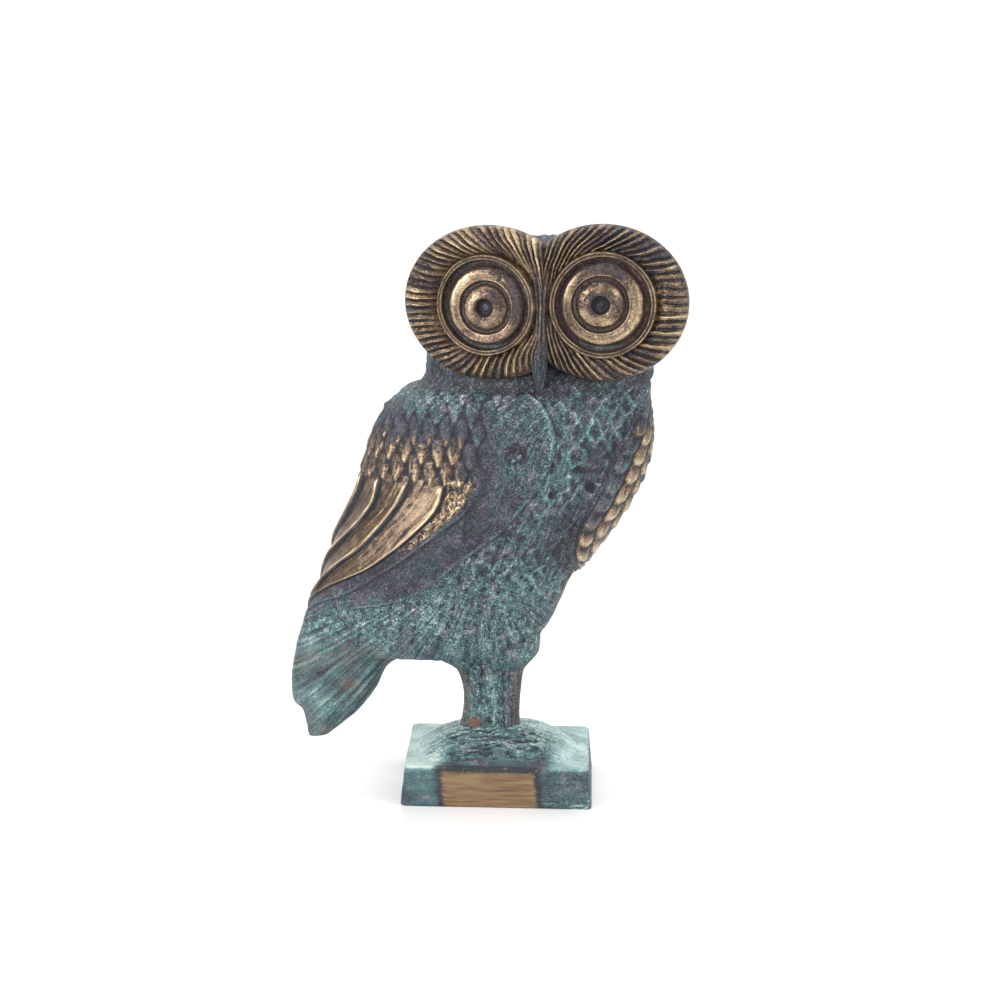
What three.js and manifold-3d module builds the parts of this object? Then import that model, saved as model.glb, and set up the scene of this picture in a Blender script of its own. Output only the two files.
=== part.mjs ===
// Owl statue: a bronze owl cast in one piece with its square plinth.
// Millimetres, +Z up. The origin is the middle of the plinth's underside.
// The owl looks along -Y, its tail hangs towards -X and its breast turns towards +X.

import * as THREE from 'three';
import { mergeVertices } from 'three/addons/utils/BufferGeometryUtils.js';
import Module from 'manifold-3d';

const wasm = await Module();
wasm.setup();

// Driving dimensions

const PLINTH = {
  foot: { width: 38.0, depth: 35.4 },
  top: { width: 36.5, depth: 34.0 },
  height: 8.1,
  edge: 0.6,
  corner: 1.4,
};

const MOUND = {
  x: -0.5,
  y: -0.5,
  reachX: 17.0,
  reachY: 15.6,
  height: 5.3,
  root: 1.5,
  ridge: 0.4,
  ridges: 9,
  squareness: 0.35,
  crown: 2.6,
  foot: 1.25,
};

// The shank holds both legs and the web between them. Its rows go from the mound up into the belly.
const SHANK_ROWS = [
  // height, middle X, half width, half depth
  [7.0, -1.7, 8.6, 7.4],
  [10.6, -1.8, 7.0, 6.0],
  [12.6, -1.8, 6.1, 5.2],
  [16.0, -1.6, 5.7, 4.8],
  [20.0, -1.5, 5.8, 4.9],
  [24.0, -1.9, 6.7, 5.8],
  [28.5, -2.5, 8.9, 7.4],
  [34.0, -3.0, 9.6, 8.0],
];
const WEB = { recess: 0.34, halfWidth: 2.4, squareness: 0.7 };

// The body and tail are one loft. A row joins a point of the back's outline to a point of the breast's.
const BODY_ROWS = [
  // back X, back Z, breast X, breast Z, half depth, middle Y, roundness
  [-15.2, 89.0, 28.4, 89.0, 9.6, -2.6, 0.9],
  [-15.9, 84.6, 29.9, 85.2, 14.5, -0.4, 0.9],
  [-20.4, 81.0, 29.6, 81.0, 16.5, 0.0, 0.85],
  [-24.0, 77.4, 30.0, 76.0, 17.6, 0.0, 0.85],
  [-26.4, 72.5, 30.0, 71.0, 18.0, 0.0, 0.85],
  [-28.2, 66.3, 28.8, 65.5, 18.0, 0.0, 0.85],
  [-30.0, 60.3, 26.4, 59.8, 18.0, 0.0, 0.85],
  [-32.1, 55.3, 22.6, 54.0, 17.8, 0.0, 0.85],
  [-33.9, 50.6, 18.2, 47.8, 17.2, 0.0, 0.85],
  [-35.3, 46.4, 14.9, 43.6, 16.3, 0.0, 0.85],
  [-36.9, 41.6, 12.8, 38.6, 15.0, 0.2, 0.82],
  [-38.6, 37.4, 9.6, 32.8, 13.5, 0.4, 0.78],
  [-39.9, 33.4, 3.5, 27.4, 11.2, 0.6, 0.72],
  [-41.0, 29.0, -6.5, 26.9, 9.2, 0.8, 0.65],
  [-41.8, 24.5, -15.2, 28.4, 7.8, 0.9, 0.55],
  [-42.0, 20.5, -22.0, 25.2, 6.8, 0.9, 0.48],
  [-41.6, 17.2, -24.9, 20.0, 6.0, 0.9, 0.45],
  [-39.8, 15.0, -27.8, 16.0, 5.2, 0.9, 0.45],
  [-39.0, 12.0, -31.4, 12.6, 4.5, 0.9, 0.45],
  [-38.6, 9.8, -34.4, 10.2, 3.6, 0.9, 0.5],
];
const TAIL = { row: 12, feather: 0.32, sides: 4 };
const SUNK = { fromRow: 0.6, toRow: 1.6, backFrom: 10, backTo: 13 };

// Angles round the body are in degrees: 0 is the back's outline, 90 the front and 180 the breast's outline.
// Each list gives one angle at every whole row, from row 0 on.
const NEAR_WING = {
  rim: [78, 82, 98, 106, 108.5, 107, 103, 99.5, 91, 86, 73, 37, 8],
  back: [-14, -14, -14, -14, -14, -14, -18, -26, -36, -48, -60, -72, -84],
};
const FAR_WING = {
  rim: [168, 166, 157, 148, 141, 136, 133, 135, 147, 182, 214, 236, 250],
  lap: 8,
};
const WING = { rise: 1.0, bead: 0.35, root: 2.2, sink: 0.55, firstRow: 1.0, lastRow: 12, tuck: 1.4 };
const SCALES = { lastRow: 5.3, rise: 0.6, across: 12, ranks: 7, fadeFrom: 78, fadeTo: 88 };
const WING_LINES = { nearFeathers: 11, far: 16, farCrowding: 1.2, farScalesTo: 9 };

// The crests of the near wing's long feathers, one list for each feather, from row 5 on.
const CREST_ROW = 5;
const CRESTS = [
  [13, 14, 9, -2, -16, -30, -44, -58],
  [31, 34, 29, 17.5, 4, -10, -24, -38],
  [51, 49, 45, 38, 25, 9, -6, -20],
  [67, 68, 64, 56.5, 46, 22.5, 0, -12],
  [83, 81, 74, 66, 57, 42, 15, -3],
];
const FEATHER = { rise: 1.0, columns: 4, last: 0.3, tip: 0.5, tipFrom: 10.6 };

// The head is a skull with two round faces, each of them a ruff of barbs round an eye.
const SKULL = { x: 8.6, y: -1.5, z: 98.9, halfWidth: 22.8, halfDepth: 14.0, halfHeight: 13.2 };
const FACES = [
  { x: -3.4, y: -14.6, z: 100.0, yaw: 17, comb: 1, eye: 0.975, halfWidth: 17.6, halfHeight: 15.2 },
  { x: 19.2, y: -16.6, z: 100.7, yaw: 0, comb: -1, eye: 1.03, halfWidth: 16.8, halfHeight: 15.3 },
];
const RUFF = { barbs: 34, barbDepth: 0.6, front: 3 };
const DOME = { depth: 15.0, shrink: 0.6, back: 3.6, flat: 2.4 };
const EYE_PROFILE = [
  // radius, height above the face
  [0.0, -1.0],
  [1.6, -0.9],
  [1.7, 1.3],
  [2.2, 1.5],
  [4.5, 0.6],
  [5.0, -0.1],
  [5.4, 0.6],
  [6.7, 0.9],
  [7.8, 0.4],
  [8.4, -0.7],
  [9.2, 0.9],
  [10.0, 1.0],
  [10.4, -1.2],
];
const EYE = { sides: 20, root: 4 };

// The bridge of strands between the eyes narrows, swells into the beak and ends in its tip.
const BRIDGE_ROWS = [
  // height, front-to-back middle, half width, half depth
  [112.4, -8.5, 4.6, 4.0],
  [109.0, -12.9, 3.4, 3.0],
  [104.0, -14.6, 2.0, 2.3],
  [99.0, -15.0, 1.5, 2.0],
  [94.0, -15.4, 1.5, 2.1],
  [90.0, -16.0, 1.6, 2.3],
  [86.0, -16.2, 1.15, 2.1],
  [82.6, -15.9, 0.25, 0.6],
];
const BRIDGE = { x: 7.2, strand: 0.12, sides: 10, steps: 12 };
const CREASE = { slope: 2.2, most: 6 };

// Smooth steps, curves and grids

const radians = THREE.MathUtils.degToRad;
const clamp = THREE.MathUtils.clamp;
const smooth = THREE.MathUtils.smoothstep;
const mix = THREE.MathUtils.lerp;

// A value from a list, or a row of values from a table, at any place between its whole rows.
function between(list, place) {
  const last = list.length - 1;
  const low = clamp(Math.floor(place), 0, last - 1);
  const f = place - low;
  const pick = (values) => {
    const slopeLow = low > 0 ? (values[low + 1] - values[low - 1]) / 2 : values[1] - values[0];
    const slopeHigh = low < last - 1 ? (values[low + 2] - values[low]) / 2 : values[last] - values[last - 1];
    return (
      (2 * f ** 3 - 3 * f ** 2 + 1) * values[low] +
      (f ** 3 - 2 * f ** 2 + f) * slopeLow +
      (3 * f ** 2 - 2 * f ** 3) * values[low + 1] +
      (f ** 3 - f ** 2) * slopeHigh
    );
  };
  if (Array.isArray(list[0])) {
    return list[0].map((_, column) => pick(list.map((row) => row[column])));
  }
  return pick(list);
}

// A closed tube: point(i, j) with i going round and j along, and a flat fan over each end.
function tube(point, sides, steps) {
  const positions = [];
  const faces = [];
  for (let j = 0; j <= steps; j += 1) {
    for (let i = 0; i < sides; i += 1) {
      positions.push(point(i, j));
    }
  }
  const middle = (j) => {
    const sum = new THREE.Vector3();
    for (let i = 0; i < sides; i += 1) {
      sum.add(positions[j * sides + i]);
    }
    return sum.divideScalar(sides);
  };
  const start = positions.push(middle(0)) - 1;
  const end = positions.push(middle(steps)) - 1;
  for (let i = 0; i < sides; i += 1) {
    const next = (i + 1) % sides;
    for (let j = 0; j < steps; j += 1) {
      const a = j * sides + i;
      const b = j * sides + next;
      faces.push(a, b, b + sides, a, b + sides, a + sides);
    }
    faces.push(start, next, i, end, steps * sides + i, steps * sides + next);
  }
  return shell(positions, faces);
}

// A closed slab between an outer and an inner sheet, each given as sheet(i, j).
function slab(outer, inner, columns, rows) {
  const positions = [];
  const faces = [];
  const width = columns + 1;
  [outer, inner].forEach((sheet) => {
    for (let j = 0; j <= rows; j += 1) {
      for (let i = 0; i <= columns; i += 1) {
        positions.push(sheet(i, j));
      }
    }
  });
  const back = width * (rows + 1);
  for (let j = 0; j < rows; j += 1) {
    for (let i = 0; i < columns; i += 1) {
      const a = j * width + i;
      faces.push(a, a + 1, a + 1 + width, a, a + 1 + width, a + width);
      faces.push(back + a, back + a + 1 + width, back + a + 1);
      faces.push(back + a, back + a + width, back + a + 1 + width);
    }
  }
  const wall = (a, b) => faces.push(a, back + b, b, a, back + a, back + b);
  for (let i = 0; i < columns; i += 1) {
    wall(i, i + 1);
    wall(rows * width + i + 1, rows * width + i);
  }
  for (let j = 0; j < rows; j += 1) {
    wall((j + 1) * width, j * width);
    wall(j * width + columns, (j + 1) * width + columns);
  }
  return shell(positions, faces);
}

function shell(positions, faces) {
  const geometry = new THREE.BufferGeometry().setFromPoints(positions);
  geometry.setIndex(faces);
  return geometry;
}

// The geometry as a solid, turned right side out if its volume comes out negative.
function solid(geometry) {
  const bare = geometry.clone();
  bare.deleteAttribute('normal');
  bare.deleteAttribute('uv');
  const merged = mergeVertices(bare, 1e-4);
  const vertProperties = new Float32Array(merged.attributes.position.array);
  const triVerts = new Uint32Array(merged.index.array);
  if (signedVolume(vertProperties, triVerts) < 0) {
    triVerts.reverse();
  }
  return new wasm.Manifold(new wasm.Mesh({ numProp: 3, vertProperties, triVerts }));
}

function signedVolume(points, corners) {
  const [a, b, c] = [new THREE.Vector3(), new THREE.Vector3(), new THREE.Vector3()];
  let total = 0;
  for (let k = 0; k < corners.length; k += 3) {
    a.fromArray(points, corners[k] * 3);
    b.fromArray(points, corners[k + 1] * 3);
    c.fromArray(points, corners[k + 2] * 3);
    total += a.dot(b.cross(c)) / 6;
  }
  return total;
}

// Body and tail

// A point of the plain body at an angle in degrees and a row number.
function skin(angle, row) {
  const [backX, backZ, breastX, breastZ, halfDepth, middleY, roundness] = between(BODY_ROWS, row);
  const across = (1 - Math.cos(radians(angle))) / 2;
  const side = Math.sin(radians(angle));
  return new THREE.Vector3(
    mix(backX, breastX, across),
    middleY - halfDepth * Math.sign(side) * Math.abs(side) ** roundness,
    mix(backZ, breastZ, across),
  );
}

// The same point moved out along the body's normal.
function raised(angle, row, lift) {
  const point = skin(angle, row);
  const round = skin(angle + 2, row).sub(skin(angle - 2, row));
  const along = skin(angle, row + 0.1).sub(skin(angle, row - 0.1));
  return point.addScaledVector(along.cross(round).normalize(), lift);
}

// The body lies a step below the wings and comes up to its outline where they begin and end.
function bodyLift(column, row) {
  const down = smooth(row, SUNK.fromRow, SUNK.toRow) * (1 - smooth(row, SUNK.backFrom, SUNK.backTo));
  const feather = [1, 0.2, -1, 0.2][column % TAIL.sides];
  return TAIL.feather * feather * smooth(row, TAIL.row - 1, TAIL.row + 2) - WING.rise * down;
}

function bodyAndTail() {
  const sides = 32;
  const steps = 28;
  const lastRow = BODY_ROWS.length - 1;
  return tube(
    (i, j) => {
      const row = (j / steps) * lastRow;
      return raised((i / sides) * 360, row, bodyLift(i, row));
    },
    sides,
    steps,
  );
}

// Wings

// Staggered scales with pointed lower ends: the points stand up, and valleys run between them.
function scaleHeight(column, line) {
  const stage = line % 2;
  const rank = Math.floor((line - 1) / 2);
  const onScale = (column + rank) % 2 === 0;
  if (stage === 1) {
    return onScale ? 0.6 : 0.1;
  }
  return onScale ? 1 : 0;
}

// Each long feather rises slowly from its first column to its crest, and drops behind it.
function featherHeight(column) {
  const share = (column % FEATHER.columns) / FEATHER.columns;
  return share === 0 ? 1 : share ** 1.4 * 0.8;
}

function nearWing() {
  const columns = 2 * SCALES.across;
  const scaleLines = 2 * SCALES.ranks;
  const lines = scaleLines + WING_LINES.nearFeathers;
  const place = (i, j) => {
    const row =
      j <= scaleLines
        ? mix(WING.firstRow, SCALES.lastRow, j / scaleLines)
        : mix(SCALES.lastRow, WING.lastRow, (j - scaleLines) / (lines - scaleLines));
    const rim = between(NEAR_WING.rim, row);
    const back = between(NEAR_WING.back, row);
    const crests = [back, ...CRESTS.map((list) => between(list, Math.max(row - CREST_ROW, 0))), rim];
    const even = mix(back, rim, i / columns);
    const combed = between(crests, i / FEATHER.columns);
    return { row, angle: mix(even, combed, smooth(row, CREST_ROW - 1.5, CREST_ROW)) };
  };
  const outer = (i, j) => {
    const { row, angle } = place(i, j);
    const scales = SCALES.rise * scaleHeight(i, j) * (1 - smooth(angle, SCALES.fadeFrom, SCALES.fadeTo));
    const crest = i > columns - FEATHER.columns ? FEATHER.last : featherHeight(i);
    const feathers = FEATHER.rise * mix(crest, FEATHER.tip, smooth(row, FEATHER.tipFrom, WING.lastRow));
    const bead = i === columns ? WING.bead : 0;
    const tuck = j === 0 ? WING.tuck : 0;
    return raised(angle, row, (j <= scaleLines ? scales : feathers) - WING.sink + bead - tuck);
  };
  const inner = (i, j) => {
    const { row, angle } = place(i, j);
    return raised(angle, row, -WING.rise - WING.root);
  };
  return slab(outer, inner, columns, lines);
}

// The far wing wraps the breast's outline and runs round the back, under the edge of the near wing.
function farWing() {
  const columns = 2 * SCALES.across;
  const lines = WING_LINES.far;
  const place = (i, j) => {
    const row = mix(WING.firstRow, WING.lastRow, j / lines);
    const rim = between(FAR_WING.rim, row);
    const end = 360 + between(NEAR_WING.back, row) + FAR_WING.lap;
    return { row, angle: mix(rim, end, (i / columns) ** WING_LINES.farCrowding) };
  };
  const outer = (i, j) => {
    const { row, angle } = place(i, j);
    const scaled = row < SCALES.lastRow || (i <= FEATHER.columns && row < WING_LINES.farScalesTo);
    const carving = scaled ? SCALES.rise * scaleHeight(i, j) : FEATHER.rise * featherHeight(i);
    const tuck = j === 0 ? WING.tuck : 0;
    return raised(angle, row, carving - WING.sink - tuck);
  };
  const inner = (i, j) => {
    const { row, angle } = place(i, j);
    return raised(angle, row, -WING.rise - WING.root);
  };
  return slab(outer, inner, columns, lines);
}

// Head

function skull() {
  const geometry = new THREE.SphereGeometry(1, 20, 12);
  geometry.scale(SKULL.halfWidth, SKULL.halfDepth, SKULL.halfHeight);
  geometry.translate(SKULL.x, SKULL.y, SKULL.z);
  return geometry;
}

// Turns a piece made round the Z axis so that it faces along -Y, then sets it on the head.
function setFace(geometry, face) {
  geometry.rotateX(Math.PI / 2);
  geometry.rotateZ(radians(-face.yaw));
  geometry.translate(face.x, face.y, face.z);
  return geometry;
}

// The faces meet in a crease under the bridge: past it, each one bends back behind the other.
function creased(geometry, face) {
  const points = geometry.attributes.position;
  for (let k = 0; k < points.count; k += 1) {
    const past = face.comb * (points.getX(k) - BRIDGE.x);
    points.setY(k, points.getY(k) + clamp(past * CREASE.slope, 0, CREASE.most));
  }
  return geometry;
}

// A round disc whose rim is combed into slanting barbs.
function ruff(face) {
  const sides = 2 * RUFF.barbs;
  const rings = [
    // radius as a share of the outer radius, height, barb depth, slant in sides
    [0.5, -3.0, 0, 0],
    [0.68, -0.4, 0.3, 0.4],
    [0.82, 0.2, 1, 2.0],
    [0.95, -0.9, 1, 3.4],
    [1.0, -3.0, 0.8, 4.0],
    [0.94, -5.5, 0, 4.0],
  ];
  const geometry = tube(
    (i, j) => {
      const [share, height, depth, slant] = rings[j];
      const upright = Math.sin((i / sides) * 2 * Math.PI);
      const turn = ((i + slant * face.comb * upright) / sides) * 2 * Math.PI;
      const barb = (i % 2 === 0 ? 0.5 : -0.5) * RUFF.barbDepth * depth;
      const grow = share + (j < RUFF.front ? 0 : barb / face.halfWidth);
      return new THREE.Vector3(
        face.halfWidth * grow * Math.cos(turn),
        face.halfHeight * grow * Math.sin(turn),
        height + (j < RUFF.front ? barb : 0),
      );
    },
    sides,
    rings.length - 1,
  );
  return creased(setFace(geometry, face), face);
}

// The dome that carries each ruff back into the skull.
function faceDome(face) {
  const geometry = new THREE.SphereGeometry(1, 20, 10);
  geometry.scale(face.halfWidth - DOME.shrink, face.halfHeight - DOME.shrink, DOME.depth);
  geometry.translate(0, 0, -DOME.back);
  const points = geometry.attributes.position;
  for (let k = 0; k < points.count; k += 1) {
    points.setZ(k, Math.min(points.getZ(k), -DOME.flat));
  }
  return creased(setFace(geometry, face), face);
}

// The eye: a pierced dome inside a broad ring and a raised rim.
function eye(face) {
  const outline = EYE_PROFILE.map(([radius, height]) => new THREE.Vector2(radius * face.eye, height));
  const [edge] = EYE_PROFILE[EYE_PROFILE.length - 1];
  outline.push(new THREE.Vector2(edge * face.eye, -EYE.root), new THREE.Vector2(0, -EYE.root));
  const geometry = new THREE.LatheGeometry(outline, EYE.sides);
  geometry.rotateX(Math.PI / 2);
  return setFace(geometry, face);
}

function bridgeAndBeak() {
  return tube(
    (i, j) => {
      const row = (j / BRIDGE.steps) * (BRIDGE_ROWS.length - 1);
      const [z, y, halfWidth, halfDepth] = between(BRIDGE_ROWS, row);
      const turn = (i / BRIDGE.sides) * 2 * Math.PI;
      const grow = 1 + (i % 2 === 0 ? BRIDGE.strand : -BRIDGE.strand);
      const offset = halfWidth * grow * Math.cos(turn);
      return new THREE.Vector3(BRIDGE.x + offset, y + halfDepth * grow * Math.sin(turn), z);
    },
    BRIDGE.sides,
    BRIDGE.steps,
  );
}

// Legs, mound and plinth

function shank() {
  const sides = 20;
  const steps = 9;
  return tube(
    (i, j) => {
      const [z, x, halfWidth, halfDepth] = between(SHANK_ROWS, (j / steps) * (SHANK_ROWS.length - 1));
      const turn = (i / sides) * 2 * Math.PI;
      const offset = halfWidth * Math.cos(turn);
      const side = Math.sin(turn);
      const hollow = 1 - WEB.recess * Math.exp(-((offset / WEB.halfWidth) ** 2));
      const squared = Math.sign(side) * Math.abs(side) ** WEB.squareness;
      return new THREE.Vector3(x + offset, halfDepth * squared * hollow, z);
    },
    sides,
    steps,
  );
}

// A low rough mound whose ridges run out from the feet.
function mound() {
  const sides = 4 * MOUND.ridges;
  const steps = 5;
  return tube(
    (i, j) => {
      const share = j === 0 ? 1 : 1 - (j - 1) / steps;
      const turn = (i / sides) * 2 * Math.PI;
      const square = 1 / Math.max(Math.abs(Math.cos(turn)), Math.abs(Math.sin(turn))) ** MOUND.squareness;
      const crest = [1, 0.3, -1, 0.3][i % 4] * MOUND.ridge * Math.sin(Math.PI * share);
      const rise = MOUND.height * (1 - share ** MOUND.crown) ** MOUND.foot + crest;
      const z = PLINTH.height + (j === 0 ? -MOUND.root : Math.max(rise, 0) - 0.2);
      return new THREE.Vector3(
        MOUND.x + MOUND.reachX * square * share * Math.cos(turn),
        MOUND.y + MOUND.reachY * square * share * Math.sin(turn),
        z,
      );
    },
    sides,
    steps,
  );
}

// A square block with rounded corners and edges, a little wider at its foot.
function plinth() {
  const arc = 4;
  const sides = 4 * arc;
  const levels = [
    // height, how far the edge has gone in
    [0, PLINTH.edge * 0.4],
    [PLINTH.edge * 0.5, 0],
    [PLINTH.height - PLINTH.edge, 0],
    [PLINTH.height - PLINTH.edge * 0.3, PLINTH.edge * 0.3],
    [PLINTH.height, PLINTH.edge],
  ];
  return tube(
    (i, j) => {
      const [z, inset] = levels[j];
      const share = z / PLINTH.height;
      const halfX = mix(PLINTH.foot.width, PLINTH.top.width, share) / 2 - inset;
      const halfY = mix(PLINTH.foot.depth, PLINTH.top.depth, share) / 2 - inset;
      const quarter = Math.floor(i / arc);
      const turn = ((quarter + (i % arc) / (arc - 1)) * Math.PI) / 2;
      const signX = quarter === 0 || quarter === 3 ? 1 : -1;
      const signY = quarter < 2 ? 1 : -1;
      return new THREE.Vector3(
        signX * (halfX - PLINTH.corner) + PLINTH.corner * Math.cos(turn),
        signY * (halfY - PLINTH.corner) + PLINTH.corner * Math.sin(turn),
        z,
      );
    },
    sides,
    levels.length - 1,
  );
}

// The casting

function casting() {
  const shapes = [bodyAndTail(), nearWing(), farWing(), skull(), bridgeAndBeak(), shank(), mound(), plinth()];
  FACES.forEach((face) => shapes.push(ruff(face), faceDome(face), eye(face)));
  const whole = shapes.map(solid).reduce((sum, shape) => sum.add(shape));
  const { vertProperties, triVerts } = whole.getMesh();
  const geometry = new THREE.BufferGeometry();
  geometry.setAttribute('position', new THREE.BufferAttribute(vertProperties, 3));
  geometry.setIndex(new THREE.BufferAttribute(triVerts, 1));
  geometry.computeVertexNormals();
  return geometry;
}

const patinatedBronze = new THREE.MeshStandardMaterial({ color: 0x5f6d62, roughness: 0.55, metalness: 0.6 });
const owl = new THREE.Mesh(casting(), patinatedBronze);
owl.name = 'owl_statue';

const statue = new THREE.Group();
statue.add(owl);

export default statue;
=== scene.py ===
"""The looks of the owl statue: one old bronze casting, its relief worked out as surfaces.

Lengths are in millimetres until a mesh is made. +Z is up, the owl looks along -Y, its tail hangs
towards -X and its breast turns towards +X.
"""

import bpy
import numpy as np
from mathutils import Matrix


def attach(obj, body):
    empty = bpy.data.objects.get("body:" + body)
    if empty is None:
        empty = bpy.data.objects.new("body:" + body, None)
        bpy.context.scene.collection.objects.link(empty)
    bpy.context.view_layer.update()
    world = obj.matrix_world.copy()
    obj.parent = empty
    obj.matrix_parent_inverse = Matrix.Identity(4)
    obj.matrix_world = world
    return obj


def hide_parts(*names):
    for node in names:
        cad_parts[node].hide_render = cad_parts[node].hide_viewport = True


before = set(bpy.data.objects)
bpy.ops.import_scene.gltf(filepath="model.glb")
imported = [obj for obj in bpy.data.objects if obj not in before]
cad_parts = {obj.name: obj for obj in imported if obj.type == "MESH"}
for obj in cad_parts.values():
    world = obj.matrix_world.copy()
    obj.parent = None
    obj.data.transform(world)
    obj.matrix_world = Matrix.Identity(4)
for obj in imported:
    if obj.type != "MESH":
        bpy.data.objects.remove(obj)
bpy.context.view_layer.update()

MM = 0.001

# The casting's main sizes, the same as those of its solid.

PLINTH = {"foot": (38.0, 35.4), "top": (36.5, 34.0), "height": 8.1, "edge": 0.6, "corner": 1.4}
MOUND = {
    "x": -0.5,
    "y": -0.5,
    "reach_x": 17.0,
    "reach_y": 15.6,
    "height": 5.3,
    "root": 1.5,
    "ridge": 0.4,
    "ridges": 9,
    "squareness": 0.35,
    "crown": 2.6,
    "foot": 1.25,
}
# height, middle X, half width, half depth
SHANK_ROWS = [
    [7.0, -1.7, 8.6, 7.4],
    [10.6, -1.8, 7.0, 6.0],
    [12.6, -1.8, 6.1, 5.2],
    [16.0, -1.6, 5.7, 4.8],
    [20.0, -1.5, 5.8, 4.9],
    [24.0, -1.9, 6.7, 5.8],
    [28.5, -2.5, 8.9, 7.4],
    [34.0, -3.0, 9.6, 8.0],
]
WEB = {"recess": 0.34, "half_width": 2.4, "squareness": 0.7}
# back X, back Z, breast X, breast Z, half depth, middle Y, roundness
BODY_ROWS = [
    [-15.2, 89.0, 28.4, 89.0, 9.6, -2.6, 0.9],
    [-15.9, 84.6, 29.9, 85.2, 14.5, -0.4, 0.9],
    [-20.4, 81.0, 29.6, 81.0, 16.5, 0.0, 0.85],
    [-24.0, 77.4, 30.0, 76.0, 17.6, 0.0, 0.85],
    [-26.4, 72.5, 30.0, 71.0, 18.0, 0.0, 0.85],
    [-28.2, 66.3, 28.8, 65.5, 18.0, 0.0, 0.85],
    [-30.0, 60.3, 26.4, 59.8, 18.0, 0.0, 0.85],
    [-32.1, 55.3, 22.6, 54.0, 17.8, 0.0, 0.85],
    [-33.9, 50.6, 18.2, 47.8, 17.2, 0.0, 0.85],
    [-35.3, 46.4, 14.9, 43.6, 16.3, 0.0, 0.85],
    [-36.9, 41.6, 12.8, 38.6, 15.0, 0.2, 0.82],
    [-38.6, 37.4, 9.6, 32.8, 13.5, 0.4, 0.78],
    [-39.9, 33.4, 3.5, 27.4, 11.2, 0.6, 0.72],
    [-41.0, 29.0, -6.5, 26.9, 9.2, 0.8, 0.65],
    [-41.8, 24.5, -15.2, 28.4, 7.8, 0.9, 0.55],
    [-42.0, 20.5, -22.0, 25.2, 6.8, 0.9, 0.48],
    [-41.6, 17.2, -24.9, 20.0, 6.0, 0.9, 0.45],
    [-39.8, 15.0, -27.8, 16.0, 5.2, 0.9, 0.45],
    [-39.0, 12.0, -31.4, 12.6, 4.5, 0.9, 0.45],
    [-38.6, 9.8, -34.4, 10.2, 3.6, 0.9, 0.5],
]
LAST_ROW = len(BODY_ROWS) - 1
TAIL = {"row": 12, "feather": 0.32, "feathers": 8}
SUNK = {"from_row": 0.6, "to_row": 1.6, "back_from": 10, "back_to": 13}

# Angles round the body in degrees at every whole row: 0 is the back's outline and 180 the breast's.
NEAR_RIM = [78, 82, 98, 106, 108.5, 107, 103, 99.5, 91, 86, 73, 37, 8]
NEAR_BACK = [-14, -14, -14, -14, -14, -14, -18, -26, -36, -48, -60, -72, -84]
FAR_RIM = [166, 164, 155, 146, 136.5, 132.5, 131.5, 133.5, 147, 182, 214, 236, 250]
FAR_LAP = 8
WING = {"rise": 1.0, "bead": 0.35, "root": 2.2, "sink": 0.55, "first": 1.0, "last": 12, "tuck": 1.4}
SCALE_END = 5.3
CREST_ROW = 5
CRESTS = [
    [13, 14, 9, -2, -16, -30, -44, -58],
    [31, 34, 29, 17.5, 4, -10, -24, -38],
    [51, 49, 45, 38, 25, 9, -6, -20],
    [67, 68, 64, 56.5, 46, 22.5, 0, -12],
    [83, 81, 74, 66, 57, 42, 15, -3],
]
BANDS = len(CRESTS) + 1
BAND_RISE = [1.0, 1.0, 1.0, 0.9, 0.45, 0.2]

SKULL = {"middle": (8.6, -1.5, 98.9), "half": (22.8, 14.0, 13.2)}
LEFT_FACE = {"middle": (-3.4, -14.6, 100.0), "yaw": 17, "eye": 0.975, "half": (17.6, 15.2), "barbs": 58}
RIGHT_FACE = {"middle": (19.2, -16.6, 100.7), "yaw": 0, "eye": 1.03, "half": (16.8, 15.3), "barbs": 48}
# radius as a share of the outer radius, height above the face, depth of the barbs
RUFF_RINGS = [[0.5, -3.0, 0], [0.68, -0.4, 0.7], [0.82, 0.2, 1], [0.95, -0.9, 0.8], [1.0, -3.0, 0.3], [0.94, -5.5, 0]]
# How many degrees a barb leans from straight out, by its angle round the face from the +X side.
LEFT_LEAN = {-180: 0, -150: -20, -125: -29, -90: -18, -60: -34, -35: -58, -12: -66, 12: 66, 30: 63, 55: 58, 90: 45, 125: 35, 155: 12}
RIGHT_LEAN = {-168: 66, -140: 62, -110: 52, -90: 45, -60: 35, -30: 28, 0: 5, 60: -40, 100: -58, 140: -64, 168: -66}
DOME = {"depth": 15.0, "shrink": 0.6, "back": 3.6, "flat": 2.4}
# radius, height above the face
EYE_PROFILE = [
    [0.0, 0.1],
    [1.2, 0.05],
    [1.55, 0.35],
    [1.8, 1.25],
    [2.05, 1.47],
    [2.35, 1.46],
    [3.3, 1.18],
    [4.1, 0.74],
    [4.4, 0.4],
    [4.65, -0.12],
    [5.15, -0.18],
    [5.35, 0.3],
    [5.6, 0.68],
    [5.85, 0.6],
    [6.25, 0.8],
    [6.75, 0.92],
    [7.3, 0.74],
    [7.7, 0.3],
    [8.1, -0.5],
    [8.55, -0.75],
    [8.9, -0.45],
    [9.05, 0.65],
    [9.25, 0.98],
    [9.42, 0.72],
    [9.58, 0.56],
    [9.72, 0.74],
    [9.88, 0.95],
    [10.04, 0.72],
    [10.2, 0.1],
    [10.35, -1.2],
    [10.4, -4.0],
]
# height, middle Y, half width, half depth
BRIDGE_ROWS = [
    [112.4, -8.5, 4.6, 4.0],
    [109.0, -12.9, 3.4, 3.0],
    [104.0, -14.6, 2.0, 2.3],
    [99.0, -15.0, 1.5, 2.0],
    [94.0, -15.4, 1.5, 2.1],
    [90.0, -16.0, 1.6, 2.3],
    [86.0, -16.2, 1.15, 2.1],
    [82.6, -15.9, 0.25, 0.6],
]
BRIDGE = {"x": 7.2, "strands": 12, "depth": 0.1}
CREASE = {"slope": 2.2, "most": 6.0}

# Curves and grain


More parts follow.
